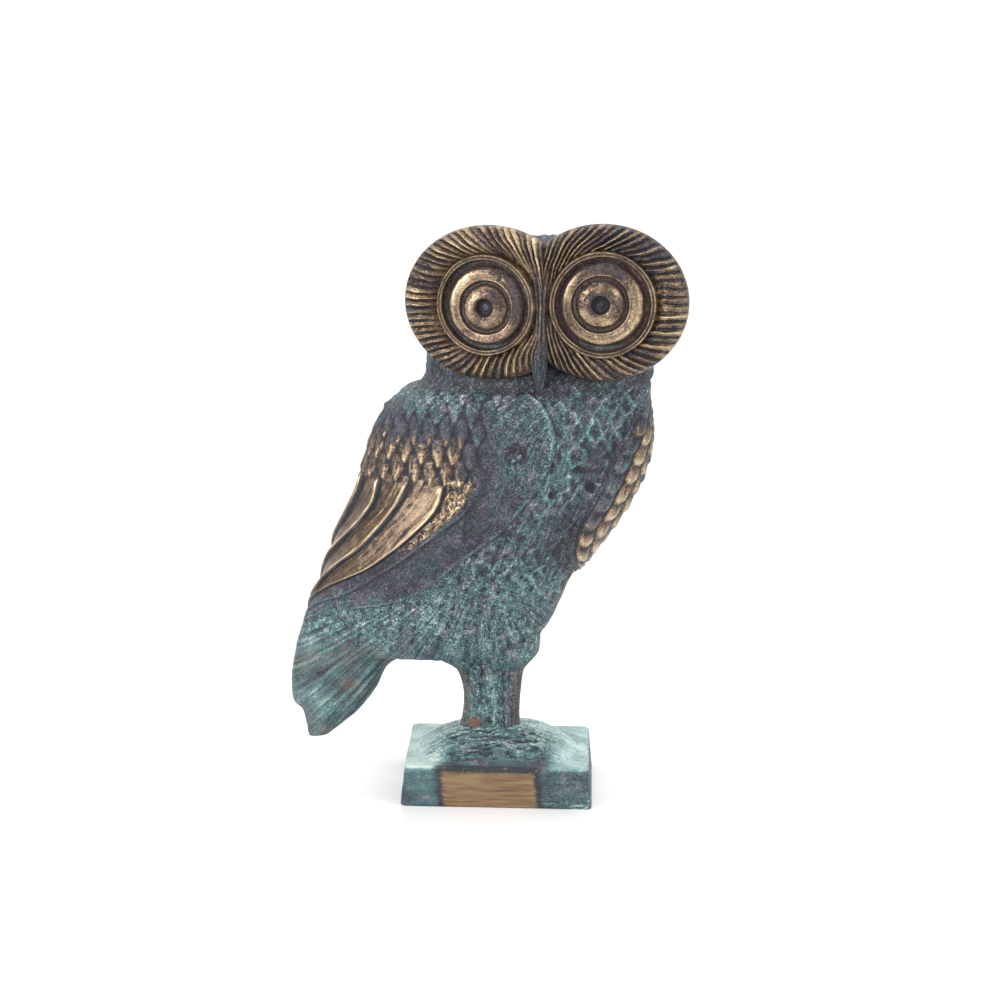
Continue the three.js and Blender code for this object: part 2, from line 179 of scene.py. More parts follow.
def smooth(value, low, high):
    """0 up to low and 1 from high on, with an even S between them."""
    share = np.clip((value - low) / (high - low), 0, 1)
    return share * share * (3 - 2 * share)


def bump(value, middle, width):
    """A bell of height 1 round its middle."""
    return np.exp(-(((value - middle) / width) ** 2))


def arc(degrees, middle, width):
    """A bell of height 1 round an angle, right round the circle."""
    return bump((degrees - middle + 180) % 360 - 180, 0, width)


def between(table, place):
    """A value, or a row of values, at any place between a table's whole rows: a cubic through the rows,
    with each row's slope half the step between its two neighbours."""
    table = np.asarray(table, float)
    slope = np.gradient(table, axis=0)
    low = np.clip(np.floor(place).astype(int), 0, len(table) - 2)
    f = place - low
    if table.ndim > 1:
        f = f[..., None]
    return (
        (2 * f**3 - 3 * f**2 + 1) * table[low]
        + (f**3 - 2 * f**2 + f) * slope[low]
        + (3 * f**2 - 2 * f**3) * table[low + 1]
        + (f**3 - f**2) * slope[low + 1]
    )


def scatter(cells, seed):
    """A fixed number from -1 to 1 for every whole-numbered cell, by mixing the digits of its place."""
    mixed = cells[..., 0] * 374761393 + cells[..., 1] * 668265263 + cells[..., 2] * 1442695041 + seed * 974711
    mixed = (mixed ^ (mixed >> 13)) * 1274126177
    mixed = mixed ^ (mixed >> 16)
    return (mixed & 0xFFFF) / 32767.5 - 1


def grain(points, size, seed):
    """Soft grain from -1 to 1: the scattered numbers of the eight nearest cells, blended evenly."""
    place = points / size
    cell = np.floor(place).astype(np.int64)
    f = place - cell
    f = f * f * (3 - 2 * f)
    total = np.zeros(points.shape[:-1])
    for corner in np.ndindex(2, 2, 2):
        weight = np.prod(np.where(np.array(corner) == 1, f, 1 - f), axis=-1)
        total += weight * scatter(cell + np.array(corner), seed)
    return total


def rough(points, size, seed):
    """Grain in three sizes, each half as big and half as strong as the last."""
    return sum(grain(points, size / 2**k, seed + k) / 2**k for k in range(3)) / 1.75


def soften(field, reach):
    """A field averaged over a square of 2 * reach + 1 grid points."""
    for axis in (0, 1):
        width = [(0, 0), (0, 0)]
        width[axis] = (reach + 1, reach)
        total = np.cumsum(np.pad(field, width, mode="edge"), axis=axis)
        size = 2 * reach + 1
        cut = (lambda a, b: total[a:b]) if axis == 0 else (lambda a, b: total[:, a:b])
        field = (cut(size, None) - cut(0, -size)) / size
    return field


def run(points, axis):
    """How far each grid point lies from the grid's first line, in millimetres along the surface."""
    steps = np.linalg.norm(np.diff(points, axis=axis), axis=-1)
    start = np.zeros_like(np.take(steps, [0], axis=axis))
    return np.cumsum(np.concatenate([start, steps], axis=axis), axis=axis)


def grid(first, second):
    return np.meshgrid(first, second)


# The plain body


def skin(angle, row):
    """The plain body: each row joins a point of the back's outline to a point of the breast's, and swells
    between them by the sine of the angle, raised to the row's roundness."""
    back_x, back_z, breast_x, breast_z, half_depth, middle_y, roundness = np.moveaxis(between(BODY_ROWS, row), -1, 0)
    across = (1 - np.cos(np.radians(angle))) / 2
    side = np.sin(np.radians(angle))
    swell = np.sign(side) * np.abs(side) ** roundness
    x = back_x + (breast_x - back_x) * across
    z = back_z + (breast_z - back_z) * across
    return np.stack([x, middle_y - half_depth * swell, z], -1)


def raised(angle, row, lift):
    """The plain body moved out along its own normal by the lift."""
    turn = skin(angle + 2, row) - skin(angle - 2, row)
    along = skin(angle, row + 0.1) - skin(angle, row - 0.1)
    normal = np.cross(along, turn)
    normal /= np.linalg.norm(normal, axis=-1, keepdims=True)
    return skin(angle, row) + normal * lift[..., None]


# Pieces


def piece(name, points, relief, polish_and_sheen, verdigris_and_shading, flow, material, rust=0.0, speckle=1.0, combed=0.7):
    """A closed skin over a grid of points that closes round its columns, with a fan over each end.

    relief is how far a point stands above (below) its surroundings, in millimetres. polish_and_sheen and
    verdigris_and_shading say, from 0 to 1, how far hands have rubbed it bright and how green it has gone;
    in places they also carry painted highlights and painted shade. rust says where it is brown, speckle
    how strong its grain is and combed how strong its streaks are. flow is a place on the surface in
    millimetres, short along the streaks, for the streaks' own grain.
    """
    rows, columns = points.shape[:2]
    points = np.concatenate([points.reshape(-1, 3), points[0].mean(0)[None], points[-1].mean(0)[None]])
    corner = np.arange(rows * columns).reshape(rows, columns)
    beside = np.roll(corner, -1, axis=1)
    quads = np.stack([corner[:-1], beside[:-1], beside[1:], corner[1:]], -1).reshape(-1, 4)
    start = np.full(columns, rows * columns)
    caps = np.concatenate(
        [np.stack([start, beside[0], corner[0]], -1), np.stack([start + 1, corner[-1], beside[-1]], -1)]
    )
    ends = points[quads]
    if np.einsum("ij,ij->i", ends[:, 0], np.cross(ends[:, 1], ends[:, 2] + ends[:, 3])).sum() < 0:
        quads, caps = quads[:, ::-1], caps[:, ::-1]
    mesh = bpy.data.meshes.new(name)
    mesh.vertices.add(len(points))
    mesh.vertices.foreach_set("co", (points * MM).ravel())
    mesh.loops.add(quads.size + caps.size)
    mesh.loops.foreach_set("vertex_index", np.concatenate([quads.ravel(), caps.ravel()]))
    mesh.polygons.add(len(quads) + len(caps))
    starts = np.concatenate([np.arange(len(quads)) * 4, quads.size + np.arange(len(caps)) * 3])
    mesh.polygons.foreach_set("loop_start", starts)
    mesh.polygons.foreach_set("use_smooth", np.ones(len(starts), bool))
    mesh.update(calc_edges=True)
    stored = {"relief": relief, "polish_and_sheen": polish_and_sheen, "verdigris_and_shading": verdigris_and_shading, "rust": rust}
    stored.update({"grain": speckle, "combed": combed})
    for title, values in stored.items():
        values = np.broadcast_to(values, (rows, columns)).ravel()
        values = np.concatenate([values, values[:1], values[-1:]])
        mesh.attributes.new(title, "FLOAT", "POINT").data.foreach_set("value", values.astype(np.float32))
    flow = np.concatenate([flow.reshape(-1, 3), flow[0, :1], flow[-1, :1]])
    mesh.attributes.new("flow", "FLOAT_VECTOR", "POINT").data.foreach_set("vector", flow.astype(np.float32).ravel())
    mesh.materials.append(material)
    made = bpy.data.objects.new(name, mesh)
    bpy.context.scene.collection.objects.link(made)
    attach(made, "root")
    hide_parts("owl_statue")
    return made


def flow_of(across, along, tag):
    """Streak places: full size across the streaks, a tenth along them, and apart from other pieces."""
    return np.stack([across, along * 0.1, np.full(across.shape, float(tag))], -1)


def ring_rows(sheet, inner):
    """An outer sheet and a few inner columns, joined into rings that close round a slab."""
    return np.concatenate([sheet, inner[:, ::-1]], axis=1)


# Materials


def node(tree, kind, **values):
    made = tree.nodes.new(kind)
    for key, value in values.items():
        setattr(made, key, value)
    return made


class Wiring:
    """Short words for a material's nodes: each call adds one and gives back its output."""

    def __init__(self, tree):
        self.tree = tree

    def put(self, socket, value):
        if isinstance(value, bpy.types.NodeSocket):
            self.tree.links.new(value, socket)
        else:
            socket.default_value = value

    def math(self, operation, a, b=0.0, clamp=False):
        made = node(self.tree, "ShaderNodeMath", operation=operation, use_clamp=clamp)
        self.put(made.inputs[0], a)
        self.put(made.inputs[1], b)
        return made.outputs[0]

    def step(self, value, low, high):
        """0 up to low, 1 from high on."""
        made = node(self.tree, "ShaderNodeMapRange", interpolation_type="SMOOTHSTEP")
        for socket, part in zip(made.inputs[:3], (value, low, high)):
            self.put(socket, part)
        return made.outputs[0]

    def scaled(self, value, out_low, out_high):
        """A value from 0 to 1 spread from out_low to out_high."""
        made = node(self.tree, "ShaderNodeMapRange")
        self.put(made.inputs[0], value)
        self.put(made.inputs[3], out_low)
        self.put(made.inputs[4], out_high)
        return made.outputs[0]

    def mix(self, share, a, b):
        made = node(self.tree, "ShaderNodeMix", data_type="RGBA")
        self.put(made.inputs[0], share)
        self.put(made.inputs[6], a)
        self.put(made.inputs[7], b)
        return made.outputs[2]

    def ramp(self, value, stops):
        """Colours blended along a value, each given with the value where it is reached."""
        low, high = stops[0][0], stops[-1][0]
        made = node(self.tree, "ShaderNodeValToRGB")
        share = node(self.tree, "ShaderNodeMapRange")
        for socket, part in zip(share.inputs[:3], (value, low, high)):
            self.put(socket, part)
        self.put(made.inputs[0], share.outputs[0])
        elements = made.color_ramp.elements
        for place, colour in stops[1:-1]:
            elements.new((place - low) / (high - low)).color = colour
        elements[0].color, elements[-1].color = stops[0][1], stops[-1][1]
        return made.outputs[0]

    def noise(self, place, scale, detail=3.0, rough_part=0.55, lean=0.0):
        made = node(self.tree, "ShaderNodeTexNoise")
        self.put(made.inputs["Vector"], place)
        self.put(made.inputs["Scale"], scale)
        self.put(made.inputs["Detail"], detail)
        self.put(made.inputs["Roughness"], rough_part)
        self.put(made.inputs["Distortion"], lean)
        return made.outputs["Fac"]

    def stored(self, title, socket="Fac"):
        return node(self.tree, "ShaderNodeAttribute", attribute_name=title).outputs[socket]

    def place(self, stretch=(1, 1, 1)):
        """The object's own place, in millimetres, stretched along its axes."""
        coordinates = node(self.tree, "ShaderNodeTexCoord").outputs["Object"]
        mapping = node(self.tree, "ShaderNodeMapping")
        self.put(mapping.inputs["Vector"], coordinates)
        self.put(mapping.inputs["Scale"], tuple(s / MM for s in stretch))
        return mapping.outputs[0]


def tint(red, green, blue):
    """A colour given as it looks on screen."""
    return tuple(c / 12.92 if c < 0.04045 else ((c + 0.055) / 1.055) ** 2.4 for c in (red, green, blue)) + (1.0,)


UMBER = tint(0.12, 0.11, 0.14)
SLATE = tint(0.21, 0.26, 0.29)
TEAL = tint(0.28, 0.395, 0.405)
MINT = tint(0.45, 0.58, 0.57)
PLUM = tint(0.28, 0.27, 0.32)
DUSK = tint(0.385, 0.385, 0.425)
ASH = tint(0.54, 0.56, 0.57)
PALE = tint(0.76, 0.83, 0.81)
DARK_BRONZE = tint(0.24, 0.19, 0.18)
OLD_BRONZE = tint(0.44, 0.37, 0.315)
BRONZE = tint(0.635, 0.555, 0.445)
BRIGHT_BRONZE = tint(0.89, 0.835, 0.71)
RUST = tint(0.46, 0.33, 0.26)


def patina_group():
    """Old bronze: dark in the hollows, green or purple grey where the air has reached it, rubbed bright on
    the crests. Grain says how strong the speckle is, and Combed how strong the streaks are."""
    group = bpy.data.node_groups.new("old_bronze", "ShaderNodeTree")
    for title, kind in (
        ("Relief", "NodeSocketFloat"),
        ("Polish_and_sheen", "NodeSocketFloat"),
        ("Verdigris_and_shading", "NodeSocketFloat"),
        ("Rust", "NodeSocketFloat"),
        ("Grain", "NodeSocketFloat"),
        ("Combed", "NodeSocketFloat"),
        ("Flow", "NodeSocketVector"),
    ):
        group.interface.new_socket(title, in_out="INPUT", socket_type=kind)
    for title, kind in (
        ("Color", "NodeSocketColor"),
        ("Metallic", "NodeSocketFloat"),
        ("Roughness", "NodeSocketFloat"),
        ("Height", "NodeSocketFloat"),
    ):
        group.interface.new_socket(title, in_out="OUTPUT", socket_type=kind)
    w = Wiring(group)
    given = node(group, "NodeGroupInput").outputs
    relief, polish_and_sheen, verdigris_and_shading = given["Relief"], given["Polish_and_sheen"], given["Verdigris_and_shading"]
    place = w.place()
    clouds = w.noise(place, 0.2, 4.0)
    speckle = w.noise(place, 2.3, 2.5, 0.6)
    pits = w.noise(place, 4.8, 2.0, 0.6)
    streaks = w.noise(given["Flow"], 1.6, 3.0, 0.6)
    curl = w.noise(place, 0.9, 2.0, 0.5, 0.6)
    loop = w.noise(place, 0.42, 2.0, 0.5, 0.9)
    crack = w.noise(place, 0.8, 2.0, 0.55, 0.5)
    hue = w.noise(place, 0.4, 2.5, 0.6)

    def sway(noise, amount):
        return w.math("MULTIPLY", w.math("SUBTRACT", noise, 0.5), amount)

    # The tone of the patina: the zone, broken up by clouds, streaks, speckle and pits.
    def lines(noise, width, amount):
        """Thin lines where a noise crosses its middle."""
        near = w.step(w.math("ABSOLUTE", w.math("SUBTRACT", noise, 0.5)), width, 0.0)
        return w.math("MULTIPLY", near, amount)

    drawn_lines = w.math("ADD", lines(curl, 0.035, 0.22), lines(loop, 0.022, 0.23))
    drawn_lines = w.math("ADD", drawn_lines, lines(crack, 0.035, -0.28))
    grains = w.math("ADD", w.math("ADD", sway(speckle, 1.15), sway(pits, 1.2)), drawn_lines)
    grains = w.math("MULTIPLY", grains, given["Grain"])
    drawn = w.math("MULTIPLY", sway(streaks, 1.4), given["Combed"])
    zone = w.math("ADD", verdigris_and_shading, sway(clouds, 0.6))
    tone = w.math("ADD", zone, w.math("ADD", grains, drawn))
    tone = w.math("ADD", tone, w.math("MULTIPLY", relief, 1.1))
    green = w.ramp(tone, ((0.04, UMBER), (0.3, SLATE), (0.52, TEAL), (0.8, MINT), (1.1, PALE)))
    grey = w.ramp(tone, ((0.04, UMBER), (0.3, PLUM), (0.52, DUSK), (0.8, ASH), (1.1, PALE)))
    greyer = w.math("SUBTRACT", hue, w.math("MULTIPLY", w.math("SUBTRACT", zone, 0.3), 0.32))
    aged = w.mix(w.step(greyer, 0.45, 0.63), green, grey)
    hollow = w.step(w.math("ADD", relief, sway(speckle, 0.12)), -0.03, -0.17)
    aged = w.mix(w.math("MULTIPLY", hollow, 0.75), aged, UMBER)
    brown = w.step(w.math("ADD", given["Rust"], sway(speckle, 1.6)), 0.15, 0.95)
    aged = w.mix(w.math("MULTIPLY", brown, w.step(given["Rust"], 0.0, 0.2)), aged, RUST)
    # How bright: the crests first, then the slopes, with the grain's own pits left dark.
    gleam = w.math("ADD", polish_and_sheen, w.math("MULTIPLY", relief, 1.5))
    gleam = w.math("ADD", gleam, w.math("MULTIPLY", sway(streaks, 0.75), given["Combed"]))
    gleam = w.math("ADD", gleam, w.math("MULTIPLY", w.math("ADD", sway(pits, 1.1), sway(speckle, 0.9)), given["Grain"]))
    bare = w.math("MULTIPLY", w.step(gleam, 0.3, 0.52), w.step(polish_and_sheen, 0.02, 0.25))
    metal = w.ramp(gleam, ((0.3, DARK_BRONZE), (0.55, OLD_BRONZE), (0.85, BRONZE), (1.2, BRIGHT_BRONZE)))
    out = node(group, "NodeGroupOutput").inputs
    w.put(out["Color"], w.mix(bare, aged, metal))
    w.put(out["Metallic"], w.scaled(bare, 0.1, 0.95))
    w.put(out["Roughness"], w.math("ADD", w.scaled(bare, 0.62, 0.33), sway(speckle, 0.3)))
    height = w.math("ADD", w.math("MULTIPLY", speckle, 0.18), w.math("MULTIPLY", pits, 0.15))
    height = w.math("MULTIPLY", height, w.scaled(bare, 1.0, 0.45))
    w.put(out["Height"], w.math("ADD", height, w.math("MULTIPLY", streaks, 0.1)))
    return group


def bronze_finish(name, group, extra=None):
    """The group's colour, metal and grain in a principled shader, with a thin coat of wax over it."""
    made = bpy.data.materials.new(name)
    made.use_nodes = True
    tree = made.node_tree
    w = Wiring(tree)
    shader = tree.nodes["Principled BSDF"]
    patina = node(tree, "ShaderNodeGroup", node_tree=group)
    for title in ("Relief", "Polish_and_sheen", "Verdigris_and_shading", "Rust", "Grain", "Combed"):
        w.put(patina.inputs[title], w.stored(title.lower()))
    w.put(patina.inputs["Flow"], w.stored("flow", "Vector"))
    parts = {title: patina.outputs[title] for title in ("Color", "Metallic", "Roughness", "Height")}
    if extra:
        extra(w, parts)
    w.put(shader.inputs["Base Color"], parts["Color"])
    w.put(shader.inputs["Metallic"], parts["Metallic"])
    w.put(shader.inputs["Roughness"], parts["Roughness"])
    shader.inputs["Specular IOR Level"].default_value = 0.4
    shader.inputs["Coat Weight"].default_value = 0.06
    shader.inputs["Coat Roughness"].default_value = 0.3
    relief = node(tree, "ShaderNodeBump")
    relief.inputs["Strength"].default_value = 0.8
    relief.inputs["Distance"].default_value = 1.0 * MM
    w.put(relief.inputs["Height"], parts["Height"])
    w.put(shader.inputs["Normal"], relief.outputs[0])
    return made


PATCH = {"left": -10.2, "right": 8.1, "low": 0.5, "high": 7.0, "slant": 0.12, "rim": 1.3}


def brushed_patch(w, parts):
    """A patch on the plinth's front, brushed sideways to bare metal, with fuzzy ends and a dark rim. The
    part above it is dark too, with a few bright specks."""
    split = node(w.tree, "ShaderNodeSeparateXYZ")
    w.put(split.inputs[0], w.place())
    x, y, z = split.outputs
    bristles = w.noise(w.place((0.16, 1, 2.4)), 0.9, 4.0, 0.55)
    fuzz = w.noise(w.place((1.2, 1, 2.5)), 1.3, 3.0, 0.6)
    ragged = w.scaled(fuzz, -1.3, 1.3)
    across = w.math("ADD", w.math("ADD", x, w.math("MULTIPLY", z, PATCH["slant"])), ragged)
    up = w.math("ADD", z, w.math("MULTIPLY", ragged, 0.5))
    front = w.step(y, -15.9, -16.5)

    def within(value, low, high, edge):
        return w.math("MULTIPLY", w.step(value, low - edge, low + edge), w.step(value, high + edge, high - edge))

    rim = w.math("MULTIPLY", within(across, PATCH["left"] - PATCH["rim"], PATCH["right"] + PATCH["rim"], 0.8), front)
    parts["Color"] = w.mix(w.math("MULTIPLY", rim, 0.75), parts["Color"], UMBER)
    inside = w.math("MULTIPLY", within(across, PATCH["left"], PATCH["right"], 0.5), front)
    inside = w.math("MULTIPLY", inside, w.step(up, PATCH["high"] + 0.3, PATCH["high"] - 0.5))
    inside = w.math("MULTIPLY", inside, w.step(w.math("ADD", bristles, w.scaled(fuzz, -0.1, 0.1)), 0.2, 0.36))
    specks = w.step(w.noise(w.place(), 1.5, 1.0, 0.5), 0.66, 0.7)
    specks = w.math("MULTIPLY", w.math("MULTIPLY", specks, rim), within(z, 6.6, 7.9, 0.3))
    inside = w.math("MAXIMUM", inside, specks)
    colour = w.mix(w.step(bristles, 0.3, 0.7), tint(0.50, 0.40, 0.31), tint(0.62, 0.52, 0.40))
    parts["Color"] = w.mix(inside, parts["Color"], colour)
    parts["Metallic"] = w.math("MAXIMUM", parts["Metallic"], w.math("MULTIPLY", inside, 0.85))
    plain = w.math("MULTIPLY", parts["Roughness"], w.math("SUBTRACT", 1.0, inside))
    parts["Roughness"] = w.math("ADD", plain, w.math("MULTIPLY", inside, 0.45))
    calm = w.math("MULTIPLY", parts["Height"], w.scaled(inside, 1.0, 0.35))
    parts["Height"] = w.math("ADD", calm, w.math("MULTIPLY", inside, w.scaled(bristles, 0, 0.05)))


old_bronze = patina_group()
casting_bronze = bronze_finish("patinated_bronze", old_bronze)
plinth_bronze = bronze_finish("plinth_bronze", old_bronze, brushed_patch)

# Body and tail


def even_angles(row, count, weight):
    """Angles right round a row's section, spaced by the section's own length times a weight of the angle."""
    fine = np.linspace(0, 360, 3601)
    length = run(skin(fine, np.full(fine.shape, float(row)))[None], 1)[0]
    share = np.concatenate([[0], np.cumsum(np.diff(length) * weight((fine[1:] + fine[:-1]) / 2))])
    return np.interp(np.linspace(0, share[-1], count + 1)[:-1], share, fine)


TAIL_ROOT = (-3.0, 50.5)


def tail_fan(base):
    """The tail's streaks spread like a fan: each point's angle below the fan's root, and its distance."""
    x, z = base[..., 0] - TAIL_ROOT[0], TAIL_ROOT[1] - base[..., 2]
    return np.degrees(np.arctan2(z, -x)), np.hypot(x, z)


# Small dark hollows on the breast: x, z, size.
BREAST_PITS = [[15.2, 67.8, 0.8], [17.8, 63.9, 1.0], [10.2, 62.7, 0.8]]


def breast_lozenges(base, angle, row):
    """Where the breast's lozenges have their raised lines, and how deep inside one a point lies."""
    warp, sag = rough(base, 3.2, 11), rough(base, 3.4, 12)
    slant = base[..., 0] / 3.3 + 0.4 * warp
    fall = base[..., 2] / 5.0 + 0.4 * sag
    ridges = [np.abs(2 * ((slant + side * fall) % 1) - 1) for side in (1, -1)]
    lines = np.maximum(*[bump(ridge, 1, 0.2) for ridge in ridges])
    breast = smooth(row, 0.6, 1.6) * (1 - smooth(row, 8.5, 10.5)) * smooth(angle, 84, 98)
    patchy = np.clip(0.75 + 0.9 * grain(base, 3.0, 13), 0.2, 1)
    filled = (1 - ridges[0]) * (1 - ridges[1]) * (1 + 1.4 * grain(base, 3.0, 17))
    return breast * lines * patchy, breast * filled


def body_relief(base, angle, row, across, down):
    """Lozenges on the breast, fine streaks on the belly, long feathers on the tail and grain over all."""
    lines, filled = breast_lozenges(base, angle, row)
    lozenges = 0.2 * lines - 0.06 * filled
    wrinkles = 1 - np.abs(grain(base, 1.3, 34)) * 4
    lozenges = lozenges + 0.12 * np.clip(wrinkles, 0, 1) * (1 - smooth(row, 10, 12))
    for x, z, size in BREAST_PITS:
        far = np.hypot(base[..., 0] - x, base[..., 2] - z) + 0.35 * grain(base, 0.9, 36)
        lozenges = lozenges - 0.34 * smooth(size - far, -0.3, 0.5) * (angle > 60) * (angle < 180)
    fan, far = tail_fan(base)
    fibres = rough(np.stack([across / 0.8, down / 6.0, 0 * across], -1), 1.0, 14)
    plumes = rough(np.stack([fan / 4.0, far / 60, 0 * fan], -1), 1.0, 15)
    vanes = grain(np.stack([fan / 1.0, far / 45, 0 * fan], -1), 1.0, 18)
    belly = smooth(row, 6.0, 9) * (1 - smooth(row, 11.5, 13))
    neck = 1 - smooth(row, 0.9, 1.9)
    tail = smooth(row, TAIL["row"] - 3, TAIL["row"]) * (1 - smooth(row, LAST_ROW - 1.6, LAST_ROW))
    tail = tail * (0.35 + 0.65 * smooth(np.abs(np.sin(np.radians(angle))), 0.05, 0.4))
    quill = np.cos(np.radians(angle) * TAIL["feathers"]) * smooth(row, TAIL["row"] - 1, TAIL["row"] + 2)
    tail_part = tail * (0.17 * plumes + 0.08 * vanes + 0.06 * quill)
    strokes = (0.14 * belly + 0.1 * neck) * fibres
    return lozenges + strokes + tail_part + (0.16 - 0.1 * smooth(row, 11, 13)) * rough(base, 0.9, 16)


def body_and_tail():
    def weight(angle):
        return 0.25 + 0.9 * smooth(angle, 5, 25) * (1 - smooth(angle, 180, 195))

    angles = even_angles(7, 296, weight)
    angle, row = grid(angles, np.linspace(0, LAST_ROW, 317))
    base = skin(angle, row)
    across, down = run(base, 1), run(base, 0)
    sunk = smooth(row, SUNK["from_row"], SUNK["to_row"]) * (1 - smooth(row, SUNK["back_from"], SUNK["back_to"]))
    relief = body_relief(base, angle, row, across, down)
    points = raised(angle, row, relief - WING["rise"] * sunk)
    x, z = base[..., 0], base[..., 2]

    def round_place(middle_x, middle_z, size):
        return bump(np.hypot(x - middle_x, z - middle_z), 0, size) * (angle < 180)

    front = smooth(angle, 20, 40) * (1 - smooth(angle, 178, 190))
    # Painted shade under the ruffs: the body's top is made less green and so darker, and the breast's tint stops short
    # of it.
    above = smooth(z + 1.6 * rough(base, 3.0, 40), 80.0, 84.0)
    breast = front * bump(row, 4.5, 4.5) * bump(angle, 125, 28) * (1 - above)
    # Darker on the breast just in front of the far wing's edge: partly purple patina, partly painted shade where the
    # wing stands over the breast.
    beside = smooth(angle, between(FAR_RIM, row) - 20, between(FAR_RIM, row) - 4)
    beside = beside * smooth(row, 2.5, 4) * (1 - smooth(row, 8, 9.5))
    verdigris_and_shading = 0.3 - 0.14 * above + 0.08 * breast - 0.14 * beside
    verdigris_and_shading = verdigris_and_shading + 0.16 * smooth(row, 7, 10) + 0.01 * smooth(row, 11, 13)
    verdigris_and_shading = verdigris_and_shading + 0.2 * round_place(-38.0, 30.2, 2.0) + 0.1 * round_place(-38.2, 15.0, 3.5)
    verdigris_and_shading = verdigris_and_shading + 0.1 * smooth(row, 7, 10) * rough(base, 6.0, 41)
    lines, filled = breast_lozenges(base, angle, row)
    verdigris_and_shading = verdigris_and_shading + (0.1 * lines - 0.03 * filled) * (1 - 0.5 * smooth(row, 4, 7))
    edge = smooth(bump(angle, 174, 11) + 0.4 * rough(base, 2.5, 45), 0.35, 0.9)
    edge = edge * smooth(row, 7.9, 8.8) * (1 - smooth(row, 9.6, 11.2))
    tail = smooth(row, 11, 13.5)
    rust = 0.4 * round_place(-30.3, 21.3, 1.6) + 0.2 * round_place(-34.0, 27.0, 2.5)
    rust = rust + 0.26 * tail * (1 + rough(base, 5.0, 46))
    fan, far = tail_fan(base)
    fanned = row > 9.2
    flow = np.where(fanned[..., None], flow_of(fan * 0.55, far * 0.5, 0), flow_of(across, down, 0))
    piece(
        "body_and_tail",
        points,
        relief - soften(relief, 5),
        0.62 * edge,
        verdigris_and_shading - 0.2 * edge,
        flow,
        casting_bronze,
        rust,
        1.1 - 0.65 * tail - 0.3 * breast,
        (0.5 + 0.35 * smooth(row, 6, 9) + 0.15 * tail) * (1 - bump(row, 9.2, 0.6)),
    )


# Wings


def shingles(across, down, point):
    """Overlapping scales, staggered row by row, and each one highest near its lower end.

    across and down count scales, and a scale's tip is at a whole number down. Its sides run straight for
    the first half and then close in: point is the power of that curve, low for a sharp tip. Where two
    scales meet, the upper row's lies on top. The result is the height from 0 to 1.
    """
    length = 1.4
    height = np.zeros(across.shape)
    for over in (1, 0):
        tip = np.ceil(down) + over
        centre = np.round(across - 0.5 * (tip % 2)) + 0.5 * (tip % 2)
        cells = np.stack([centre * 2, tip, 0 * tip], -1).astype(np.int64)
        side = 2 * (across - centre + 0.07 * scatter(cells, 3))
        along = (down - tip + 0.12 * scatter(cells, 4)) / length + 1
        half = (0.9 + 0.06 * scatter(cells, 6)) * (1 - np.clip((along - 0.4) / 0.6, 0, 1) ** point)
        inside = (np.abs(side) < half) & (along > 0) & (along < 1)
        crown = np.clip(1 - (np.abs(side) / np.maximum(half, 1e-3)) ** 2.2, 0, 1) ** 0.6
        size = 0.85 + 0.15 * scatter(cells, 5)
        top = crown * size * (0.3 + 0.7 * np.clip(along, 0, 1)) * (1 - smooth(along, 0.93, 1.0) * 0.4)
        height = np.where(inside, np.maximum(top, height), height)
    return height


def roll_down(top, distance, radius, low):
    """Bends a surface down from its top to low within radius of its edge, as a quarter round."""
    share = np.clip(distance / radius, 0, 1)
    return low + (top - low) * np.sqrt(1 - (1 - share) ** 2)


def feather_rise(share):
    """A long feather from one crest to the next: a groove, a slow rise, and a narrow rounded crest."""
    return 0.75 * share**1.7 + 0.26 * bump(share, 0.92, 0.09) + (1 - smooth(share, 0, 0.09)) * 0.65


def filed_scales(across, down):
    """Files of rounded scales like roof tiles: a scale fills its file's width, rises slowly to its round
    lower edge and drops there onto the next one. Files are staggered by half a scale."""
    files = np.floor(across)
    side = 2 * (across - files - 0.5)
    place = down + 0.5 * (files % 2) + 0.3 * side**2
    cells = np.stack([files, np.ceil(place), 0 * files], -1).astype(np.int64)
    place = place + 0.06 * scatter(cells, 37)
    part = place - np.ceil(place) + 1
    crown = np.clip(1 - np.abs(side) ** 3.0, 0, 1) ** 0.7
    return crown * (0.25 + 0.75 * part) * (0.88 + 0.12 * scatter(cells, 38)) * (1 - smooth(part, 0.95, 1.0) * 0.4)


SCALE_TIPS = [1.15, 2.25, 3.2, 4.05, 4.7, 5.28]
SCALE_WIDTH = 3.2
SCALE_START = 1.9
# The wing's front, seen from the owl's front: a dark purple part left of the line between these two places.
DARK_PURPLE_LINE = ((-1.6, 79.0), (4.2, 61.5))
KNOB = (2.8, 71.2)


def spread_of(base, angle):
    """A scale's place across the near wing: X where the wing faces the front, and from there on the
    distance along the surface, where it turns to the back."""
    steps = np.diff(base, axis=1)
    turned = 1 - smooth((angle[:, 1:] + angle[:, :-1]) / 2, 15, 40)
    steps = steps[..., 0] + turned * (np.linalg.norm(steps, axis=-1) - steps[..., 0])
    behind = np.cumsum(steps[:, ::-1], axis=1)[:, ::-1]
    return base[:, -1:, 0] - np.concatenate([behind, np.zeros_like(behind[:, :1])], axis=1)


